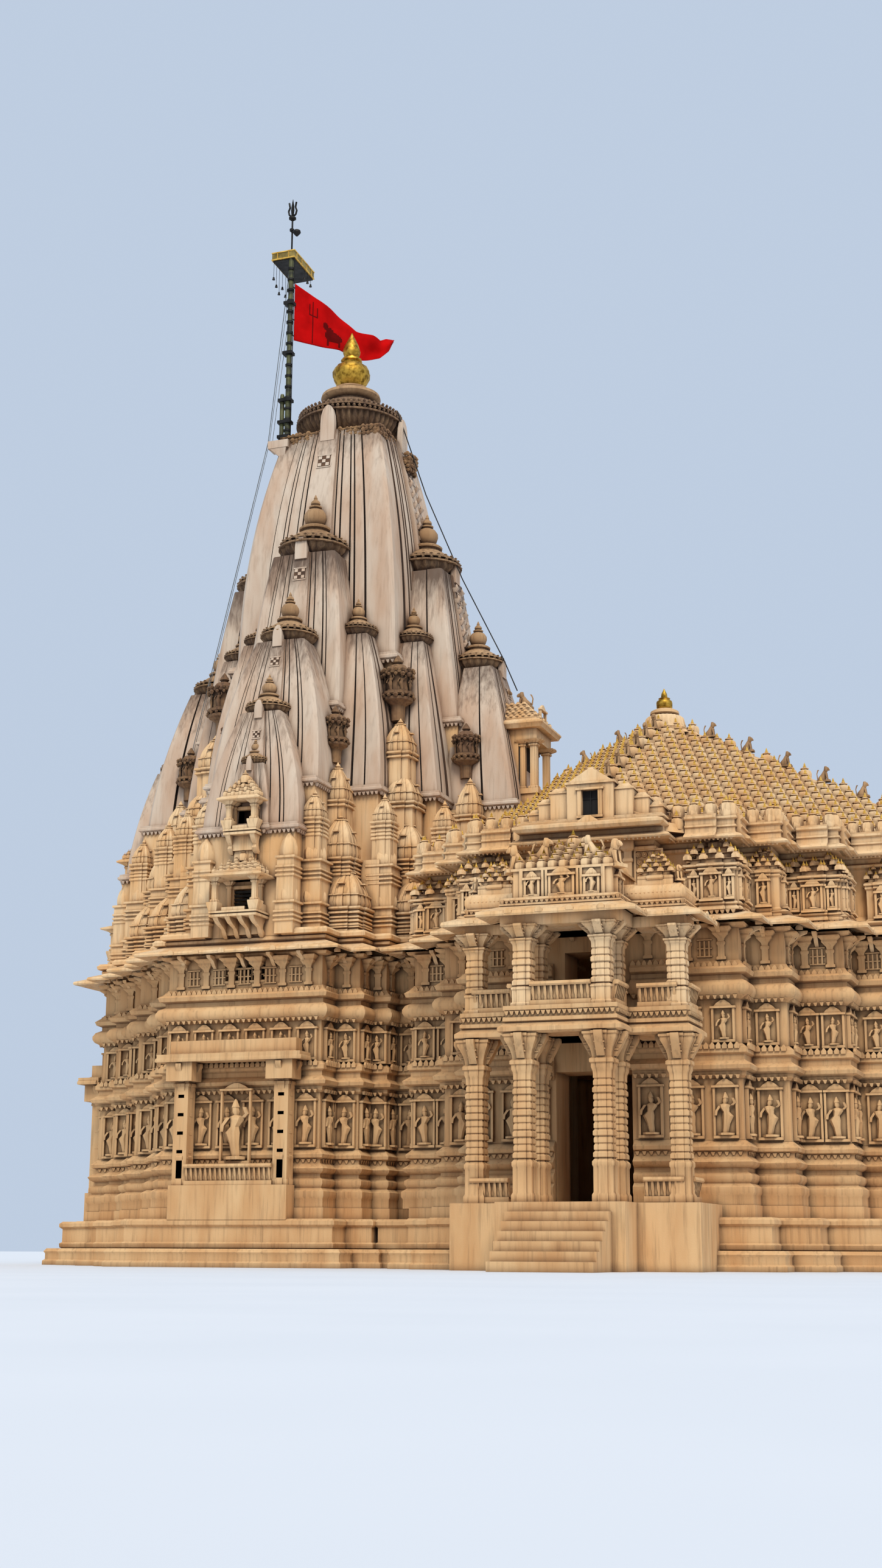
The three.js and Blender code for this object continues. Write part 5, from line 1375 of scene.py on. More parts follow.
def turret(half, tip, wide, sides):
    """A turret: a sloping foot, walls with figured niches on the given sides and a belled roof."""
    z0, z1 = 13.4, 15.2
    plan = WIDE_PLAN if wide else STEPPED
    wall = form(
        plan,
        even([
            (1.02, z0), (1.16, z0 + 0.06), (1.16, z0 + 0.14), (1.04, z0 + 0.24), (1.1, z0 + 0.3),
            (1.1, z0 + 0.36), (1.0, z0 + 0.42), (1.0, z1 - 0.2), (1.1, z1 - 0.14), (1.1, z1 - 0.08),
            (1.04, z1 - 0.05), (1.16, z1), (1.16, z1 + 0.06)], half))
    w = min(0.8, half * 0.8)
    parts = [
        moved(niche(w, 1.2), 0, -half, z0 + 0.44), front(w / 2 + 0.06, half, half + 0.2, z0 + 0.4, z0 + 0.48),
        moved(figure(), 0, -half - 0.05, z0 + 0.56, 0, 0.98)]
    if wide:
        for side in BOTH:
            x = side * half * 0.62
            parts += [
                moved(niche(0.4, 1.1), x, -half * 0.92, z0 + 0.46),
                moved(figure(side), x, -half * 0.92 - 0.05, z0 + 0.58, 0, 0.82)]
    band_path = [(-half * 0.86, -half * 0.98), (half * 0.86, -half * 0.98)]
    parts.append(copies(dentil(), along(band_path, 0.2, 0.1, z0 + 0.04)))
    roof, caps = small_roof(half * 0.92, z1 + 0.05, tip)
    return joined(wall, on_sides(joined(*parts), sides), roof), caps


# Turrets of the hall: x and y from its middle, half-width, level of the tip, whether it is wide
TURRETS = [(4.65, 11.9, 1.1, 16.55, True), (6.3, 10.35, 0.66, 16.3, False), (7.95, 8.05, 1.2, 16.55, True)]


def build_hall_upper():
    """The wall over the gallery: recesses, foliage panels, turrets and a cornice in bays."""
    solid_parts, gold_parts, turret_parts = [], [], []
    for x, y, half, tip, wide in TURRETS:
        for a, b in sorted({(sx * a, sy * b) for a, b in ((x, y), (y, x)) for sx in BOTH for sy in BOTH}):
            if outside_tower(a, b, 0.9):
                sides = {0 if b < 0 else 2, 1 if a > 0 else 3}
                if wide and abs(a) != abs(b):
                    sides.add((3 if a > 0 else 1) if abs(b) > abs(a) else (2 if b < 0 else 0))
                wall, caps = turret(half, tip, wide, sides)
                turret_parts.append(moved(wall, HALL_X + a, b))
                gold_parts.append(moved(caps, HALL_X + a, b))
    wall_outline = [
        (-0.3, 13.42), (-0.3, 13.8), (-0.42, 13.9), (-0.5, 14.0), (-0.5, 15.95), (-0.38, 16.02),
        (-0.38, 16.12), (-0.5, 16.2), (-0.4, 16.45)]
    crown_outline = [
        (-0.3, 16.36), (0.1, 16.38), (0.34, 16.34), (0.38, 16.4), (0.26, 16.5), (0.06, 16.6), (0.02, 16.66),
        (0.02, 16.8), (0.08, 16.84), (0.08, 16.9), (0, 16.95), (0, 17.12), (0.1, 17.18), (0.1, 17.26),
        (-0.02, 17.3), (-0.02, 17.36)]
    bay = band([(-0.62, 0), (0.62, 0)], [(out + 0.2, z + 0.01) for out, z in crown_outline], back=-0.05)
    pot = turning([(0.29, 17.26), (0.3, 17.42), (0.26, 17.58)], 7)

    def by_gable(spot):
        x, y = abs(spot.translation.x - HALL_X), abs(spot.translation.y)
        return max(x, y) > 12.6 and min(x, y) < 3.1

    for p in hall_rounds():
        solid_parts += [band(p, wall_outline, back=-1.6), band(p, crown_outline, back=-1.2)]
        solid_parts.append(copies(bay, [q for q in along(p, 1.9, 0.0, 0.0, margin=0.3) if not by_gable(q)]))
        solid_parts.append(copies(dentil(), [q @ place(size=0.7) for q in along(p, 0.17, 0.26, 16.38)]))
        spots = [q for q in along(p, 0.6, -0.2, 17.6, size=0.9) if not by_gable(q)]
        solid_parts += [
            copies(bell(), spots), copies(pot, [place(q.translation.x, q.translation.y) for q in spots])]
        gold_parts.append(copies(bell_cap(), spots))
    shaft = stack([
        (0.22, 0.14, 13.9), (0.22, 0.14, 14.2), (0.16, 0.1, 14.25), (0.16, 0.1, 15.5), (0.2, 0.14, 15.55),
        (0.2, 0.14, 15.65), (0.16, 0.1, 15.7), (0.16, 0.1, 15.95), (0.26, 0.2, 16.05), (0.26, 0.2, 16.36)])
    trim = [copies(relief(1, 1.75), [place(s * 2.2, -13.0, 14.2) for s in BOTH]),
            copies(shaft, [place(s * 1.4, -13.05) for s in BOTH])]
    solid_parts.append(moved(on_sides(joined(*trim), HALL_SIDES), HALL_X))
    piece("hall_upper_walls_carved", joined(*solid_parts), "light", ["hall_upper_walls"])
    piece("hall_turrets_carved", joined(*turret_parts), "light")
    piece("hall_turret_gilded_caps", joined(*gold_parts), "tips")


def build_gables():
    """The window gables of the hall's three open sides: a peaked bay between stepped blocks."""
    face, floor = 13.5, 17.12
    parts = [stack([
        (2.9, 1.0, 16.78, 0, -face + 0.45), (3.05, 1.1, 16.9, 0, -face + 0.45),
        (3.05, 1.1, 17.0, 0, -face + 0.45), (2.75, 0.8, floor + 0.02, 0, -face + 0.5)])]
    parts.append(stack([
        (0.5, 0.05, floor - 0.12, 0, -face - 0.4), (0.38, 0.05, floor + 0.04, 0, -face - 0.36),
        (0.14, 0.05, floor + 0.2, 0, -face - 0.34), (0.1, 0.04, floor + 0.24, 0, -face - 0.34)]))
    sill, head, window, top = 17.42, 18.46, 0.33, 18.72
    parts += [front((0.95 - window) / 2, 12.2, face, floor, top, side * (0.95 + window) / 2) for side in BOTH]
    parts += [
        front(window, 12.2, face, head, top), front(window, 12.2, face, floor, sill),
        front(1.02, face - 1.2, face + 0.07, top, top + 0.08)]
    parts.append(stack([
        (half, deep, top + rise, 0, -face + 0.52)
        for half, deep, rise in (
            (0.95, 0.5, 0.08), (0.85, 0.48, 0.14), (0.62, 0.47, 0.3), (0.3, 0.45, 0.5), (0.12, 0.43, 0.62),
            (0.1, 0.3, 0.72))]))
    parts += [front(0.08, face - 0.02, face + 0.08, sill, head, side * (window + 0.09)) for side in BOTH]
    parts += [
        front(window + 0.24, face - 0.02, face + 0.13, head, head + 0.08),
        front(window + 0.2, face - 0.02, face + 0.12, sill - 0.1, sill),
        # A panel painted dark behind the window, for the shade inside.
        front(window, face - 0.2, face - 0.15, sill, head).on(1),
        front(0.02, face - 0.15, face - 0.11, sill, head).on(2),
        front(window, face - 0.15, face - 0.12, 18.1, 18.13).on(2)]
    for middle, half, back, height in (
        (1.33, 0.36, 0.2, 18.45), (1.97, 0.28, 0.45, 18.1), (2.5, 0.25, 0.7, 17.75)):
        for side in BOTH:
            parts.append(front(half, 12.0, face - back, floor, height, side * middle))
            parts.append(stack([
                (w, d, height + dz, side * middle, -face + back + 0.5)
                for w, d, dz in (
                    (half + 0.04, 0.55, 0), (half + 0.04, 0.55, 0.07), (half * 0.9, 0.48, 0.09),
                    (half * 0.5, 0.4, 0.24))]))
    solid = joined(*parts)
    for side in HALL_SIDES:
        node = SIDES[side] + "_gable"
        made = moved(on_sides(solid, [side]), HALL_X)
        piece(node + "_carved", made, "light unlit iron", [node])


# Porches

# Columns of a storey of the south porch: x from the hall's middle, distance from the axis
COLUMN_AT = [(-1.5, 17.6), (1.5, 17.6), (-1.5, 15.9), (1.5, 15.9), (-3.9, 15.9), (3.9, 15.9)]


def column(foot, top, thick):
    """A column of stepped plan: a plain foot, a shaft of many mouldings and a flared capital."""
    rise, t = top - foot, thick
    levels = [(1.25, 0), (1.25, 0.04), (1.1, 0.055), (1.1, 0.2), (1.2, 0.21), (1.2, 0.23), (1, 0.245)]
    count = round(rise * 0.5 / 0.26)
    for i in range(count):
        share, step = 0.25 + 0.5 * i / count, 0.5 / count
        wide = 1.02 if i % 3 else 1.1
        levels += [(0.9, share), (wide, share + step * 0.15), (wide, share + step * 0.7)]
    levels += [
        (1.05, 0.755), (1.2, 0.775), (1.2, 0.8), (1.35, 0.805), (1.35, 0.825), (1.1, 0.835), (1.15, 0.86),
        (1.3, 0.89), (1.6, 0.925), (1.85, 0.95), (1.85, 0.965), (2.0, 0.97), (2.0, 0.985), (1.6, 0.99),
        (1.6, 1)]
    shaft = form(STEPPED, even([(s, foot + rise * share) for s, share in levels], t))
    pier_levels = [(1, 0.84), (1.2, 0.86), (1.6, 0.9), (1.95, 0.94), (2.15, 0.96), (2.15, 0.985)]
    pier = stack([(t * 0.42, t * 0.3, foot + rise * share, 0, -t * s) for s, share in pier_levels])
    bars = [
        front(t * 0.52, t * s, t * (s + 0.42), foot + rise * z, foot + rise * z + 0.06)
        for s, z in ((1.2, 0.875), (1.6, 0.915))]
    return joined(shaft, on_sides(joined(pier, *bars)))


def porch_path(front_half, front_out, wing_half, wing_out, near=14.2):
    """The plan of a porch: a front bay between two wings that stand further back."""
    return [
        (-wing_half, -near), (-wing_half, -wing_out), (-front_half, -wing_out), (-front_half, -front_out),
        (front_half, -front_out), (front_half, -wing_out), (wing_half, -wing_out), (wing_half, -near)]


def seat_back(length):
    """A sloping stone seat-back with small balusters, standing on the edge of the floor."""
    baluster = stack([
        (0.05, 0.05, 0.08, 0, 0), (0.035, 0.04, 0.2, 0, -0.02), (0.055, 0.05, 0.35, 0, -0.06),
        (0.04, 0.04, 0.6, 0, -0.12)])
    count = max(2, round(length / 0.22))
    places = [place(-length / 2 + (i + 0.5) * length / count) for i in range(count)]
    half = length / 2
    wall = stack([(half, 0.05, 0.0, 0, 0.06), (half, 0.04, 0.6, 0, -0.03)])
    rail = stack([(half, 0.1, 0.6, 0, -0.1), (half, 0.12, 0.66, 0, -0.12), (half, 0.08, 0.76, 0, -0.13)])
    foot = stack([(half, 0.14, -0.12, 0, 0.02), (half, 0.12, 0.08, 0, 0)])
    return joined(foot, copies(baluster, places), wall, rail)


def porch_storey(foot, top):
    thick = round(bpy.context.scene.temple_look.column_half, 4)
    return copies(column(foot, top, thick), [place(x, -y) for x, y in COLUMN_AT])


def porch_lower():
    """The porch's lower storey: columns, the floor on them and both floors' seat-backs."""
    path = porch_path(2.1, 18.1, 4.35, 16.4)
    parts = [
        porch_storey(FLOOR, 8.5), front(2.05, 13.9, 18.0, 8.45, 8.7), front(4.3, 13.9, 16.3, 8.45, 8.7),
        front(2.1, 13.9, 18.1, 9.2, 9.41), front(4.35, 13.9, 16.4, 9.2, 9.41)]
    parts.append(
        sweep(path, [(-0.3, 8.43), (0.1, 8.42), (0.22, 8.48), (0.22, 8.62), (-0.05, 8.84), (-0.3, 8.9)]))
    parts.append(band(path, [
        (-0.02, 8.8), (0.06, 8.86), (0.06, 8.98), (-0.02, 9.04), (-0.02, 9.2), (0.05, 9.26),
        (0.05, 9.42)], back=-0.3))
    parts.append(copies(dentil(), along(path, 0.2, 0.04, 9.22)))
    seats = [place(s * 3.3, -16.15, FLOOR + 0.15) for s in BOTH] + [
        place(s * 4.15, -15.2, FLOOR + 0.15, s * pi / 2) for s in BOTH]
    parts.append(copies(seat_back(1.5), seats))
    upper = [
        place(s * x, -y, 9.53, turn * s * pi / 2) for s in BOTH
        for x, y, turn in ((3.2, 16.2, 0), (4.2, 15.2, 1), (1.9, 17.0, 1))]
    parts.append(copies(seat_back(1.5), upper))
    parts.append(moved(seat_back(2.3), 0, -17.9, 9.53))
    return joined(*parts)


# The figured parapet over a porch's wings: distance from the wall and level
BARREL = [
    (0, 13.38), (0.08, 13.44), (0.16, 13.6), (0.16, 13.78), (0.06, 13.96), (-0.12, 14.08), (-0.4, 14.14)]


def porch_upper():
    """The porch's upper storey: columns, eave, cornice, figured parapet, bells and lions."""
    path = porch_path(2.35, 18.05, 4.35, 16.25, 13.9)
    parts = [
        porch_storey(GALLERY_TOP, 12.46), front(2.3, 14.7, 18.0, 12.41, 12.9),
        front(4.3, 14.7, 16.2, 12.41, 12.8), sweep(path, eave_section(12.7, 0.66, 0.42, 0.2)),
        eave_buttons(path, 0.66, 12.76),
        band(path, [
            (-0.4, 13.05), (-0.1, 13.08), (-0.02, 13.16), (-0.02, 13.22), (-0.14, 13.26), (-0.14, 13.3),
            (-0.06, 13.36), (-0.06, 13.42), (-0.2, 13.48)], back=-0.8),
        copies(dentil(), along(path, 0.2, -0.08, 13.12) + along(path, 0.2, -0.14, 13.38))]
    walls = [
        front(1.9, 14.2, 17.6, 13.42, 14.55), front(1.98, 14.2, 17.68, 14.5, 14.6),
        front(1.96, 14.2, 17.66, 13.4, 13.5)]
    for x, width, height in ((0, 1.0, 0.98), (-1.15, 0.62, 0.86), (1.15, 0.62, 0.86)):
        walls.append(moved(niche(width, height), x, -17.62, 13.48))
        walls.append(
            moved(figure(1 if x <= 0 else -1), x, -17.7, 13.56, 0, (1.25 if x == 0 else 0.9, 0.9, 0.82)))
        walls += [front(0.07, 17.55, 17.68, 13.5, 14.5, x + s * (width / 2 + 0.12)) for s in BOTH]
    wing = [(-4.15, -14.3), (-4.15, -16.05), (-1.9, -16.05)]
    wings = [wing, [(-x, y) for x, y in reversed(wing)]]
    walls += [band(p, BARREL, back=-1.4) for p in wings] + [
        copies(bead(), along(p, 0.16, 0.13, 13.7, size=0.06)) for p in wings]
    tip_stone, tip_gold = small_roof(0.62, 14.3, 15.35)
    tips = [place(s * 3.15, -15.35) for s in BOTH]
    walls.append(copies(joined(front(0.68, -0.68, 0.68, 13.9, 14.22), tip_stone), tips))
    for s in BOTH:
        at = place(s * 1.92, -16.85, 13.46, s * pi / 2)
        walls += [copies(niche(0.9, 0.9), [at]), copies(figure(s), [at @ place(0, -0.08, 0.08, 0, 0.78)])]
    tiers = [(1.7, 17.4), (1.3, 17.0), (0.9, 16.6), (0.5, 16.2)]
    spots = []
    for i, (half, out) in enumerate(tiers):
        z, deep, middle = 14.58 + i * 0.28, (out - 14.2) / 2, -(out + 14.2) / 2
        walls.append(stack([
            (half, deep, z, 0, middle), (half, deep, z + 0.2, 0, middle),
            (half - 0.1, deep - 0.05, z + 0.28, 0, middle + 0.05)]))
        count = round(half / 0.22)
        spots += [
            place(-half + 2 * half * k / count, -out - 0.03, z + 0.12, 0, 0.7) for k in range(count + 1)]
        spots += [place(s * half, -out + k * 0.45, z + 0.12, 0, 0.7) for s in BOTH for k in range(1, 6)]
    spots.append(place(0, -16.0, 15.72, 0, 1))
    beasts = [place(s * 1.82, -17.2, 14.62, s * 1.1, 1.05) for s in BOTH] + [
        place(s * 0.95, -16.85, 15.05, -s * 1.4, 0.9) for s in BOTH]
    beasts += [place(s * 3.95, -15.75, 14.2, s * 0.7, 0.6) for s in BOTH]
    gold = joined(copies(bell_cap(), spots), copies(tip_gold, tips))
    return joined(*parts, *walls, copies(bell(), spots), copies(lion(), beasts)), gold


def build_porches():
    lower, (upper, caps) = porch_lower(), porch_upper()
    for side in HALL_SIDES:
        name = SIDES[side]
        where = [place(HALL_X)]
        piece(
            name + "_porch_columns_turned", copies(on_sides(lower, [side]), where), "tan",
            [name + "_porch_columns"])
        piece(
            name + "_porch_upper_carved", copies(on_sides(upper, [side]), where), "light",
            [name + "_porch_upper"])
        piece(name + "_porch_gilded_caps", copies(on_sides(caps, [side]), where), "gold")
    porch = joined(
        copies(column(3.3, 8.4, 0.3), [place(s * 2.3, -11.42) for s in BOTH]),
        sweep(
            [(-2.9, -11.2), (-2.9, -11.75), (2.9, -11.75), (2.9, -11.2)],
            [(-0.2, 8.66), (0.45, 8.38), (0.47, 8.44), (0.45, 8.54), (-0.2, 8.86)]),
        moved(seat_back(4.0), 0, -11.75, 3.4), moved(niche(1.4, 3.2), 0, -11.14, 4.2),
        moved(figure(), 0, -11.25, 4.35, 0, 2.5))
    for side in BALCONY_SIDES:
        piece(SIDES[side] + "_tower_porch_carving", on_sides(porch, [side]), "tan")


# Flagstaff, flag and wires

def tube(points, radius, sides=6):
    """A round bar through a chain of points."""
    parts = []
    for a, b in zip(points, points[1:]):
        a, b = Vector(a), Vector(b)
        bar = form(circle(sides), [(radius, radius, 0), (radius, radius, (b - a).length)], smooth=True)
        parts.append(
            copies(bar, [Matrix.Translation(a) @ (b - a).to_track_quat("Z", "Y").to_matrix().to_4x4()]))
    return joined(*parts)


def build_flagstaff():
    """The staff with its rings, the clamps at its foot, the flag's ties and a cable."""
    x, y = STAFF
    foot = SHOULDER + 0.05
    stay = x - 0.32
    parts = [
        form(circle(10), [
            (0.15, 0.15, foot, x, y), (0.13, 0.13, foot + 5, x, y), (0.13, 0.13, STAFF_TOP, x, y)]),
        form(circle(8), [
            (0.12, 0.12, foot, stay, y), (0.12, 0.12, foot + 2.3, stay, y),
            (0.09, 0.09, foot + 2.45, stay, y)])]
    ring = turning([(0.12, 0), (0.19, 0.01), (0.19, 0.12), (0.12, 0.13)], 10)
    heights = np.arange(foot + 0.35, STAFF_TOP - 0.2, 0.6)
    parts.append(copies(ring, [place(x, y, z) for z in heights]).on(1))
    for rise in (0, 0.8, 2.0, 4.6, 7.4):
        parts.append(
            block(
                x - (0.48 if rise < 3 else 0.3), x + 0.22, y - 0.22, y + 0.22, foot + rise,
                foot + rise + 0.16).on(1))
    c, s = cos(FLAG_TURN), sin(FLAG_TURN)
    parts += [
        tube([(x + 0.12 * c, y + 0.12 * s, z), (x + 0.27 * c, y + 0.27 * s, z)], 0.035).on(1)
        for z in (46.4, 47.3, 48.2, 49.1)]
    parts.append(tube([(x + 0.2, y - 0.05, foot + 0.1), (x + 0.2, y - 0.05, STAFF_TOP)], 0.025).on(1))
    piece("flagstaff_banded", joined(*parts), "pole iron", ["flagstaff"])


def build_staff_head():
    """The staff's tray, its lamp and horn, the trident and thin lines with small bells."""
    x, y = STAFF
    x0, x1, y0, y1 = -3.46, -2.2, -2.65, -0.1
    mx, my, hx, hy = (x0 + x1) / 2, (y0 + y1) / 2, (x1 - x0) / 2, (y1 - y0) / 2
    rim = [(x0, y0), (x1, y0), (x1, y1), (x0, y1)]
    tray = stack([(hx, hy, z, mx, my) for z in (50.68, 51.12)])
    rails = [
        sweep(rim, [(-0.05, z), (0.025, z), (0.025, z + 0.06), (-0.05, z + 0.06)], closed=True)
        for z in (50.67, 51.05)]
    studs = copies(front(0.02, -0.02, 0.02, 0, 0.3), along(rim, 0.62, 0.0, 50.74, closed=True))
    under = stack([(hx - 0.04, hy - 0.04, 50.6, mx, my), (hx - 0.04, hy - 0.04, 50.69, mx, my)])
    mast = [
        tube([(x, y, 51.0), (x, y, 53.0)], 0.05),
        tube([(x - 0.05, y, 52.25), (x + 0.3, y - 0.12, 52.1)], 0.04)]
    lamp = moved(
        turning([(0.05, -0.2), (0.12, -0.12), (0.21, 0), (0.19, 0.1), (0.06, 0.18)], 12), x + 0.32, y - 0.12,
        52.05)
    horn = moved(turning([(0.05, -0.05), (0.12, 0.02), (0.12, 0.12), (0.04, 0.18)], 10), x - 0.02, y, 52.25)
    knob = form(circle(8), [
        (0.06, 0.06, 52.85, x, y), (0.2, 0.2, 52.95, x, y), (0.2, 0.2, 53.02, x, y),
        (0.08, 0.08, 53.1, x, y)])
    blade = form(circle(6), [
        (0.06, 0.06, 53.05, x, y), (0.1, 0.07, 53.45, x, y), (0.08, 0.06, 53.7, x, y),
        (0.01, 0.01, 54.09, x, y)])
    prongs = [
        tube([
            (x, y, 53.08), (x + s * 0.18, y, 53.2), (x + s * 0.23, y, 53.42), (x + s * 0.15, y, 53.62),
            (x + s * 0.2, y, 53.9)], 0.05)
        for s in BOTH]
    hanging = []
    spots = [(x0 + 0.05, b) for b in (-2.5, -2.15, -1.8, -1.4, -1.0)]
    spots += [(x1 - 0.05, b) for b in (-1.2, -0.8, -0.4)]
    for i, (bx, by) in enumerate(spots):
        drop = (0.9 + 0.25 * (i % 3)) if i < 5 else 0.45
        bell_here = moved(
            turning([(0.08, -0.15), (0.06, -0.1), (0.05, -0.02), (0.01, 0.02)], 8), bx, by, 50.7 - drop)
        hanging += [tube([(bx, by, 50.72), (bx, by, 50.7 - drop)], 0.012, 4), bell_here]
    iron = joined(under, *mast, lamp, horn, knob, blade, *prongs, *hanging)
    solid = joined(tray, studs.on(1), *(r.on(1) for r in rails), iron.on(2))
    piece("flagstaff_head_detailed", solid, "brass tips iron", ["flagstaff_head"])


def printed(away, up):
    """Whether a spot of the flag is printed: a trident and a resting bull.

    Away is in metres from the hoist, and up is a share of the height."""
    side = abs(away - 1.2)
    trident = [
        side < 0.045 and 0.03 < up < 0.6, abs(up - 0.6) < 0.022 and side < 0.27,
        abs(side - 0.24) < 0.045 and 0.6 <= up < 0.8, side < 0.045 and 0.6 <= up < 0.88]
    bull = [
        ((away - a) / w) ** 2 + ((up - b) / h) ** 2 < 1
        for a, b, w, h in ((2.5, 0.3, 0.55, 0.14), (2.3, 0.42, 0.24, 0.1), (2.0, 0.5, 0.2, 0.09))]
    return any(trident) or any(bull) or (0.06 < up < 0.3 and abs(abs(away - 2.5) - 0.36) < 0.07)


def build_flag():
    """The flag: a pennant blown in long folds away from the staff."""
    bpy.ops.object.select_all(action="DESELECT")
    bpy.ops.mesh.primitive_grid_add(x_subdivisions=96, y_subdivisions=36, size=1)
    made = bpy.context.object
    made.name = "flag_cloth"
    c, s = cos(FLAG_TURN), sin(FLAG_TURN)
    spots = {}
    for vertex in made.data.vertices:
        u, v = vertex.co.x + 0.5, vertex.co.y + 0.5
        top = np.interp(
            u, [0, 0.25, 0.55, 0.63, 0.78, 0.86, 0.93, 1.0],
            [49.35, 48.9, 48.2, 48.03, 48.05, 47.93, 48.2, 48.28])
        low = np.interp(u, [0, 0.45, 0.68, 0.86, 0.95, 1.0], [46.15, 46.5, 46.45, 46.9, 47.5, 48.15])
        out = 0.26 + u * FLAG_LENGTH
        fold = u * (0.16 * sin(u * 11 + v * 1.8) + 0.07 * sin(u * 27 - v * 4) + 0.03 * sin(u * 6 + v * 9))
        spots[vertex.index] = (u * FLAG_LENGTH, v)
        vertex.co = (STAFF[0] + out * c - fold * s, STAFF[1] + out * s + fold * c, low + (top - low) * v)
        vertex.co *= HALF_SIZE
    made.data.materials.append(FINISH["flag"])
    made.data.materials.append(FINISH["motif"])
    for face in made.data.polygons:
        away, up = (sum(spots[i][k] for i in face.vertices) / len(face.vertices) for k in (0, 1))
        face.material_index = int(printed(away, up))
    thick = made.modifiers.new("thickness", "SOLIDIFY")
    thick.thickness = 0.012
    thick.offset = 0
    bpy.ops.object.modifier_apply(modifier=thick.name)
    bpy.ops.object.shade_smooth()
    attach(made, "root")
    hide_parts("flag")


def build_wires():
    guys = [tube([(-2.52, -2.55, 49.8), (-3.32, -2.8, 40.46), (-7.2, -2.5, 24.41)], 0.02),
            tube([(-2.54, -2.5, 48.6), (-3.34, -2.62, 40.46), (-7.2, -2.35, 24.41)], 0.014),
            tube([(-2.54, -2.5, 47.0), (-3.32, -2.35, 40.46)], 0.014)]
    piece("guy_wires_twisted", joined(*guys), "wire", ["guy_wire"])
    east = tube([
        (2.66, -0.2, 42.4), (4.25, -0.2, 37.6), (6.2, -0.2, 32.9), (8.3, -0.2, 28.6),
        (9.0, -0.2, 26.92)], 0.03)
    piece("east_wire_twisted", east, "iron", ["east_wire"])


# Carried-over solids keep their shape and take the real finish

STAY_TAN = ["tower_plinth", "hall_plinth", "hall_gallery"]
STAY_TAN += [f"tower_{side}_wall" for side in SIDES] + [f"hall_{corner}_wall" for corner in CORNERS]
STAY_TAN += [f"{SIDES[side]}_tower_porch" for side in BALCONY_SIDES]
STAY_TAN += [f"{SIDES[side]}_porch_base" for side in HALL_SIDES]
STAY_LIGHT = ["tower_second_storey", "tower_upper_walls"]


def finish_solids():
    for finish, names in (("tan", STAY_TAN), ("light", STAY_LIGHT)):
        for name in names:
            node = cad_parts[name]
            for index in range(len(node.material_slots)):
                node.material_slots[index].material = FINISH[finish]


# Stage

def build_stage():
    bpy.ops.object.select_all(action="DESELECT")
    bpy.ops.mesh.primitive_circle_add(
        vertices=96, radius=bpy.context.scene.temple_look.floor_radius, fill_type="NGON",
        location=(0, 0, -0.002))
    floor = bpy.context.object
    floor.name = "pale_floor"
    material, tree, shader = start_material("pale_studio_floor")
    where = add_node(tree, "TexCoord", output="Object")
    noise = add_node(tree, "TexNoise", {"Vector": where, "Scale": 0.4})
    tone = add_node(
        tree, "Mix", {0: noise, 6: linear("#d9dde2"), 7: linear("#e2e5e9")}, output=2, data_type="RGBA")
    tree.links.new(tone, shader.inputs["Base Color"])
    shader.inputs["Roughness"].default_value = 0.95
    floor.data.materials.append(material)
    world = bpy.data.worlds.new("pale_sky")
    world.use_nodes = True
    world.node_tree.nodes["Background"].inputs[0].default_value = linear("#c3d2e6")
    world.node_tree.nodes["Background"].inputs[1].default_value = 0.95
    bpy.context.scene.world = world
    bpy.ops.object.light_add(type="SUN", location=(20, -40, 60))
    sun = bpy.context.object
    sun.data.energy = 2.3
    sun.data.angle = radians(25)
    sun.data.color = (1, 0.93, 0.82)
    sun.rotation_euler = (radians(42), 0, radians(28))
    yaw, pitch, roll = CAMERA_YAW, CAMERA_PITCH, CAMERA_ROLL
    ahead = Vector((-sin(yaw) * cos(pitch), cos(yaw) * cos(pitch), sin(pitch)))
    right = Vector((cos(yaw), sin(yaw), 0))
    up = right.cross(ahead)
    right, up = cos(roll) * right + sin(roll) * up, -sin(roll) * right + cos(roll) * up
    bpy.ops.object.camera_add(location=CAMERA_AT)
    camera = bpy.context.object
    camera.rotation_mode = "QUATERNION"
    camera.rotation_quaternion = Matrix((right, up, -ahead)).transposed().to_quaternion()
    camera.data.lens = CAMERA_LENS
    camera.data.sensor_width = CAMERA_SENSOR
    camera.data.clip_end = 1000
    bpy.context.scene.camera = camera
    bpy.context.scene.view_settings.view_transform = "Standard"


# Add-on

class TempleLook(bpy.types.PropertyGroup):
    """Sizes, in metres, and colours that a user would change"""
    bell_spacing: bpy.props.FloatProperty(
        name="Bell spacing", description="Distance between the bells of the hall's roof",
        default=0.47, min=0.3, unit="LENGTH")
    column_half: bpy.props.FloatProperty(
        name="Column half-width", description="Half the width of a porch column's shaft",
        default=0.36, min=0.1, unit="LENGTH")
    floor_radius: bpy.props.FloatProperty(
        name="Floor radius", description="Radius of the stage's floor",
        default=400, min=50, unit="LENGTH")
    tan_hex: bpy.props.StringProperty(
        name="Lower stone", description="sRGB hex of the tan sandstone", default="#cb9c69")
    light_hex: bpy.props.StringProperty(
        name="Upper stone", description="sRGB hex of the light sandstone", default="#deae76")
    plaster_hex: bpy.props.StringProperty(
        name="Spire plaster", description="sRGB hex of the spires' plaster", default="#c2a388")
    gold_hex: bpy.props.StringProperty(
        name="Gilding", description="sRGB hex of the gilded brass", default="#cfa545")
    flag_hex: bpy.props.StringProperty(
        name="Flag", description="sRGB hex of the flag", default="#c40404")


class TEMPLE_OT_finishes(bpy.types.Operator):
    """Makes every finish and puts it on the carried-over solids"""
    bl_idname = "temple.finishes"
    bl_label = "Finishes"

    def execute(self, context):
        make_finishes(context.scene.temple_look)
        finish_solids()
        return {"FINISHED"}


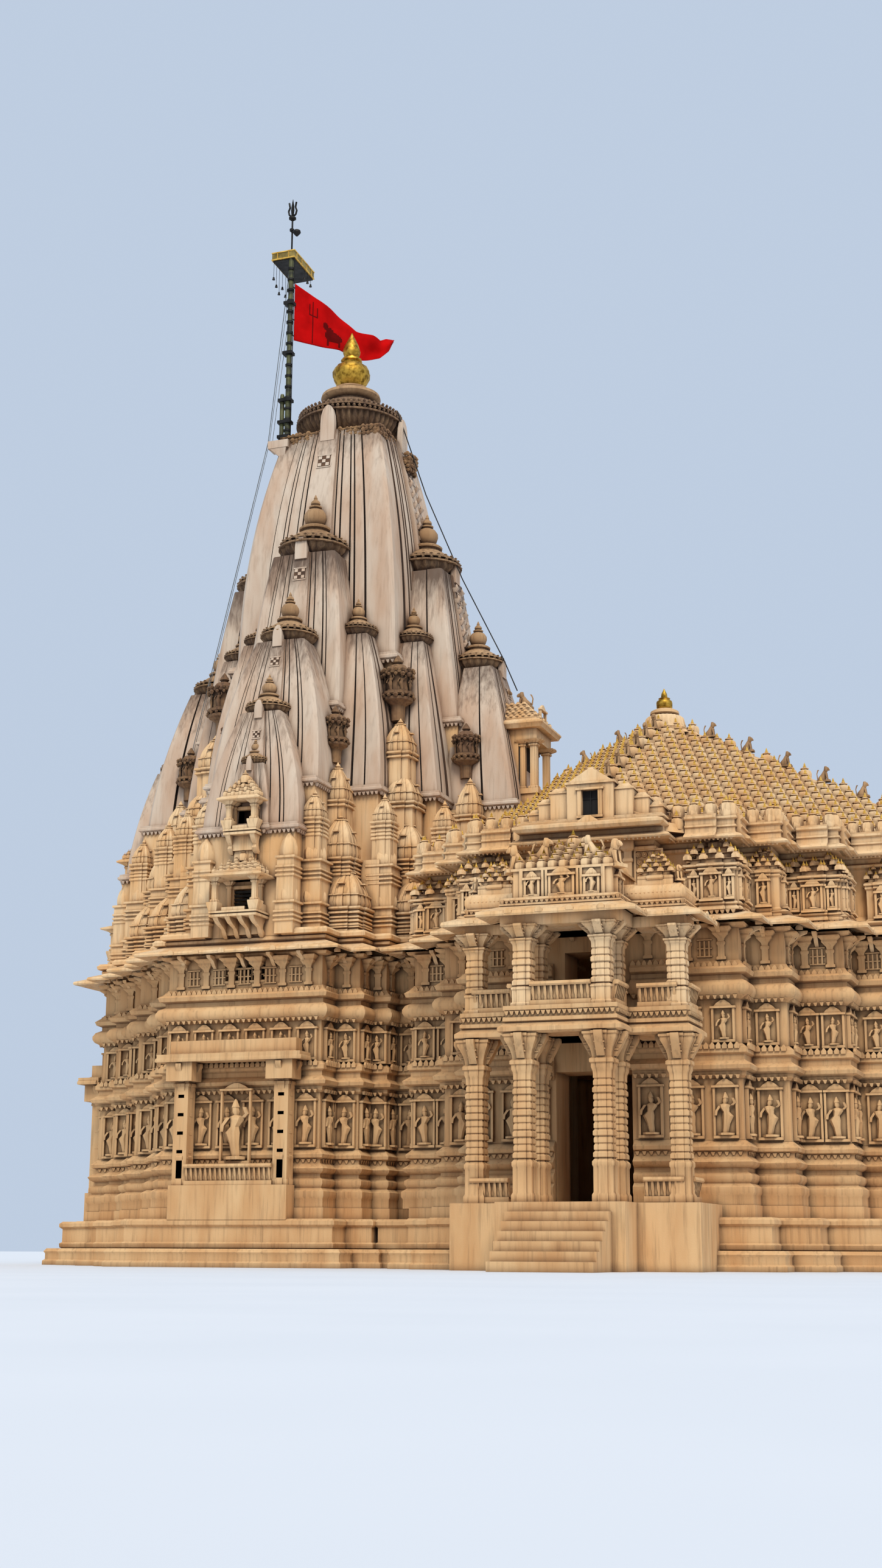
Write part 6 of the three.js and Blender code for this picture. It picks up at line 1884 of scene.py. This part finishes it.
class TEMPLE_OT_stage(bpy.types.Operator):
    """Adds the pale floor, the soft light and the camera"""
    bl_idname = "temple.stage"
    bl_label = "Stage"

    def execute(self, context):
        build_stage()
        return {"FINISHED"}


class TEMPLE_OT_half_spires(bpy.types.Operator):
    """Adds the ribbed half-spires on the four faces, with their small spires and piers"""
    bl_idname = "temple.half_spires"
    bl_label = "Half-spires"

    def execute(self, context):
        build_half_spires()
        return {"FINISHED"}


class TEMPLE_OT_main_spire(bpy.types.Operator):
    """Adds the main spire with its frieze and marks, its ribbed ring and its gilded pot"""
    bl_idname = "temple.main_spire"
    bl_label = "Main spire"

    def execute(self, context):
        build_main_spire()
        build_main_ring()
        return {"FINISHED"}


class TEMPLE_OT_corners(bpy.types.Operator):
    """Adds the stacked shrines, figured heads and ribbed spires at the corners"""
    bl_idname = "temple.corners"
    bl_label = "Corner shrines"

    def execute(self, context):
        build_corners()
        return {"FINISHED"}


class TEMPLE_OT_walls(bpy.types.Operator):
    """Adds mouldings, niches, figures and lattice windows to the walls and plinths"""
    bl_idname = "temple.walls"
    bl_label = "Wall carving"

    def execute(self, context):
        build_walls()
        return {"FINISHED"}


class TEMPLE_OT_eaves(bpy.types.Operator):
    """Adds the sloping eaves of the tower and the hall, with their leaves and brackets"""
    bl_idname = "temple.eaves"
    bl_label = "Eaves"

    def execute(self, context):
        build_eaves()
        return {"FINISHED"}


class TEMPLE_OT_balconies(bpy.types.Operator):
    """Adds the balconies of the tower, one over the other on three sides"""
    bl_idname = "temple.balconies"
    bl_label = "Balconies"

    def execute(self, context):
        build_balconies()
        return {"FINISHED"}


class TEMPLE_OT_antefix(bpy.types.Operator):
    """Adds the small shrine over the way from the hall to the tower"""
    bl_idname = "temple.antefix"
    bl_label = "Antefix"

    def execute(self, context):
        build_antefix()
        return {"FINISHED"}


class TEMPLE_OT_hall_roof(bpy.types.Operator):
    """Adds the stepped roof with its bells, gilded points, lions and gilded pot"""
    bl_idname = "temple.hall_roof"
    bl_label = "Hall roof"

    def execute(self, context):
        build_hall_roof()
        return {"FINISHED"}


class TEMPLE_OT_hall_upper(bpy.types.Operator):
    """Adds the turrets and upper walls of the hall"""
    bl_idname = "temple.hall_upper"
    bl_label = "Hall upper walls"

    def execute(self, context):
        build_hall_upper()
        return {"FINISHED"}


class TEMPLE_OT_gables(bpy.types.Operator):
    """Adds the window gables of the hall"""
    bl_idname = "temple.gables"
    bl_label = "Gables"

    def execute(self, context):
        build_gables()
        return {"FINISHED"}


class TEMPLE_OT_porches(bpy.types.Operator):
    """Adds the porches of the hall and the tower"""
    bl_idname = "temple.porches"
    bl_label = "Porches"

    def execute(self, context):
        build_porches()
        return {"FINISHED"}


class TEMPLE_OT_flagstaff(bpy.types.Operator):
    """Adds the flagstaff, its head, the flag and the wires"""
    bl_idname = "temple.flagstaff"
    bl_label = "Flagstaff"

    def execute(self, context):
        build_flagstaff()
        build_staff_head()
        build_flag()
        build_wires()
        return {"FINISHED"}


OPERATORS = [
    TEMPLE_OT_finishes, TEMPLE_OT_stage, TEMPLE_OT_half_spires, TEMPLE_OT_main_spire,
    TEMPLE_OT_corners, TEMPLE_OT_walls, TEMPLE_OT_eaves, TEMPLE_OT_balconies, TEMPLE_OT_antefix,
    TEMPLE_OT_hall_roof, TEMPLE_OT_hall_upper, TEMPLE_OT_gables, TEMPLE_OT_porches,
    TEMPLE_OT_flagstaff,
]


class TEMPLE_PT_panel(bpy.types.Panel):
    """Lists the temple's sizes, colours and pieces"""
    bl_idname = "TEMPLE_PT_panel"
    bl_label = "Temple"
    bl_space_type = "VIEW_3D"
    bl_region_type = "UI"
    bl_category = "Temple"

    def draw(self, context):
        for name in TempleLook.__annotations__:
            self.layout.prop(context.scene.temple_look, name)
        for kind in OPERATORS:
            self.layout.operator(kind.bl_idname)


def register():
    """Adds the properties, the operators and the panel to Blender."""
    bpy.utils.register_class(TempleLook)
    for kind in OPERATORS:
        bpy.utils.register_class(kind)
    bpy.utils.register_class(TEMPLE_PT_panel)
    bpy.types.Scene.temple_look = bpy.props.PointerProperty(type=TempleLook)


def unregister():
    del bpy.types.Scene.temple_look
    bpy.utils.unregister_class(TEMPLE_PT_panel)
    for kind in reversed(OPERATORS):
        bpy.utils.unregister_class(kind)
    bpy.utils.unregister_class(TempleLook)


def main():
    """Builds the whole temple."""
    register()
    for kind in OPERATORS:
        getattr(bpy.ops.temple, kind.bl_idname.split(".")[1])()
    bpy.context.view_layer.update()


if __name__ == "__main__":
    main()
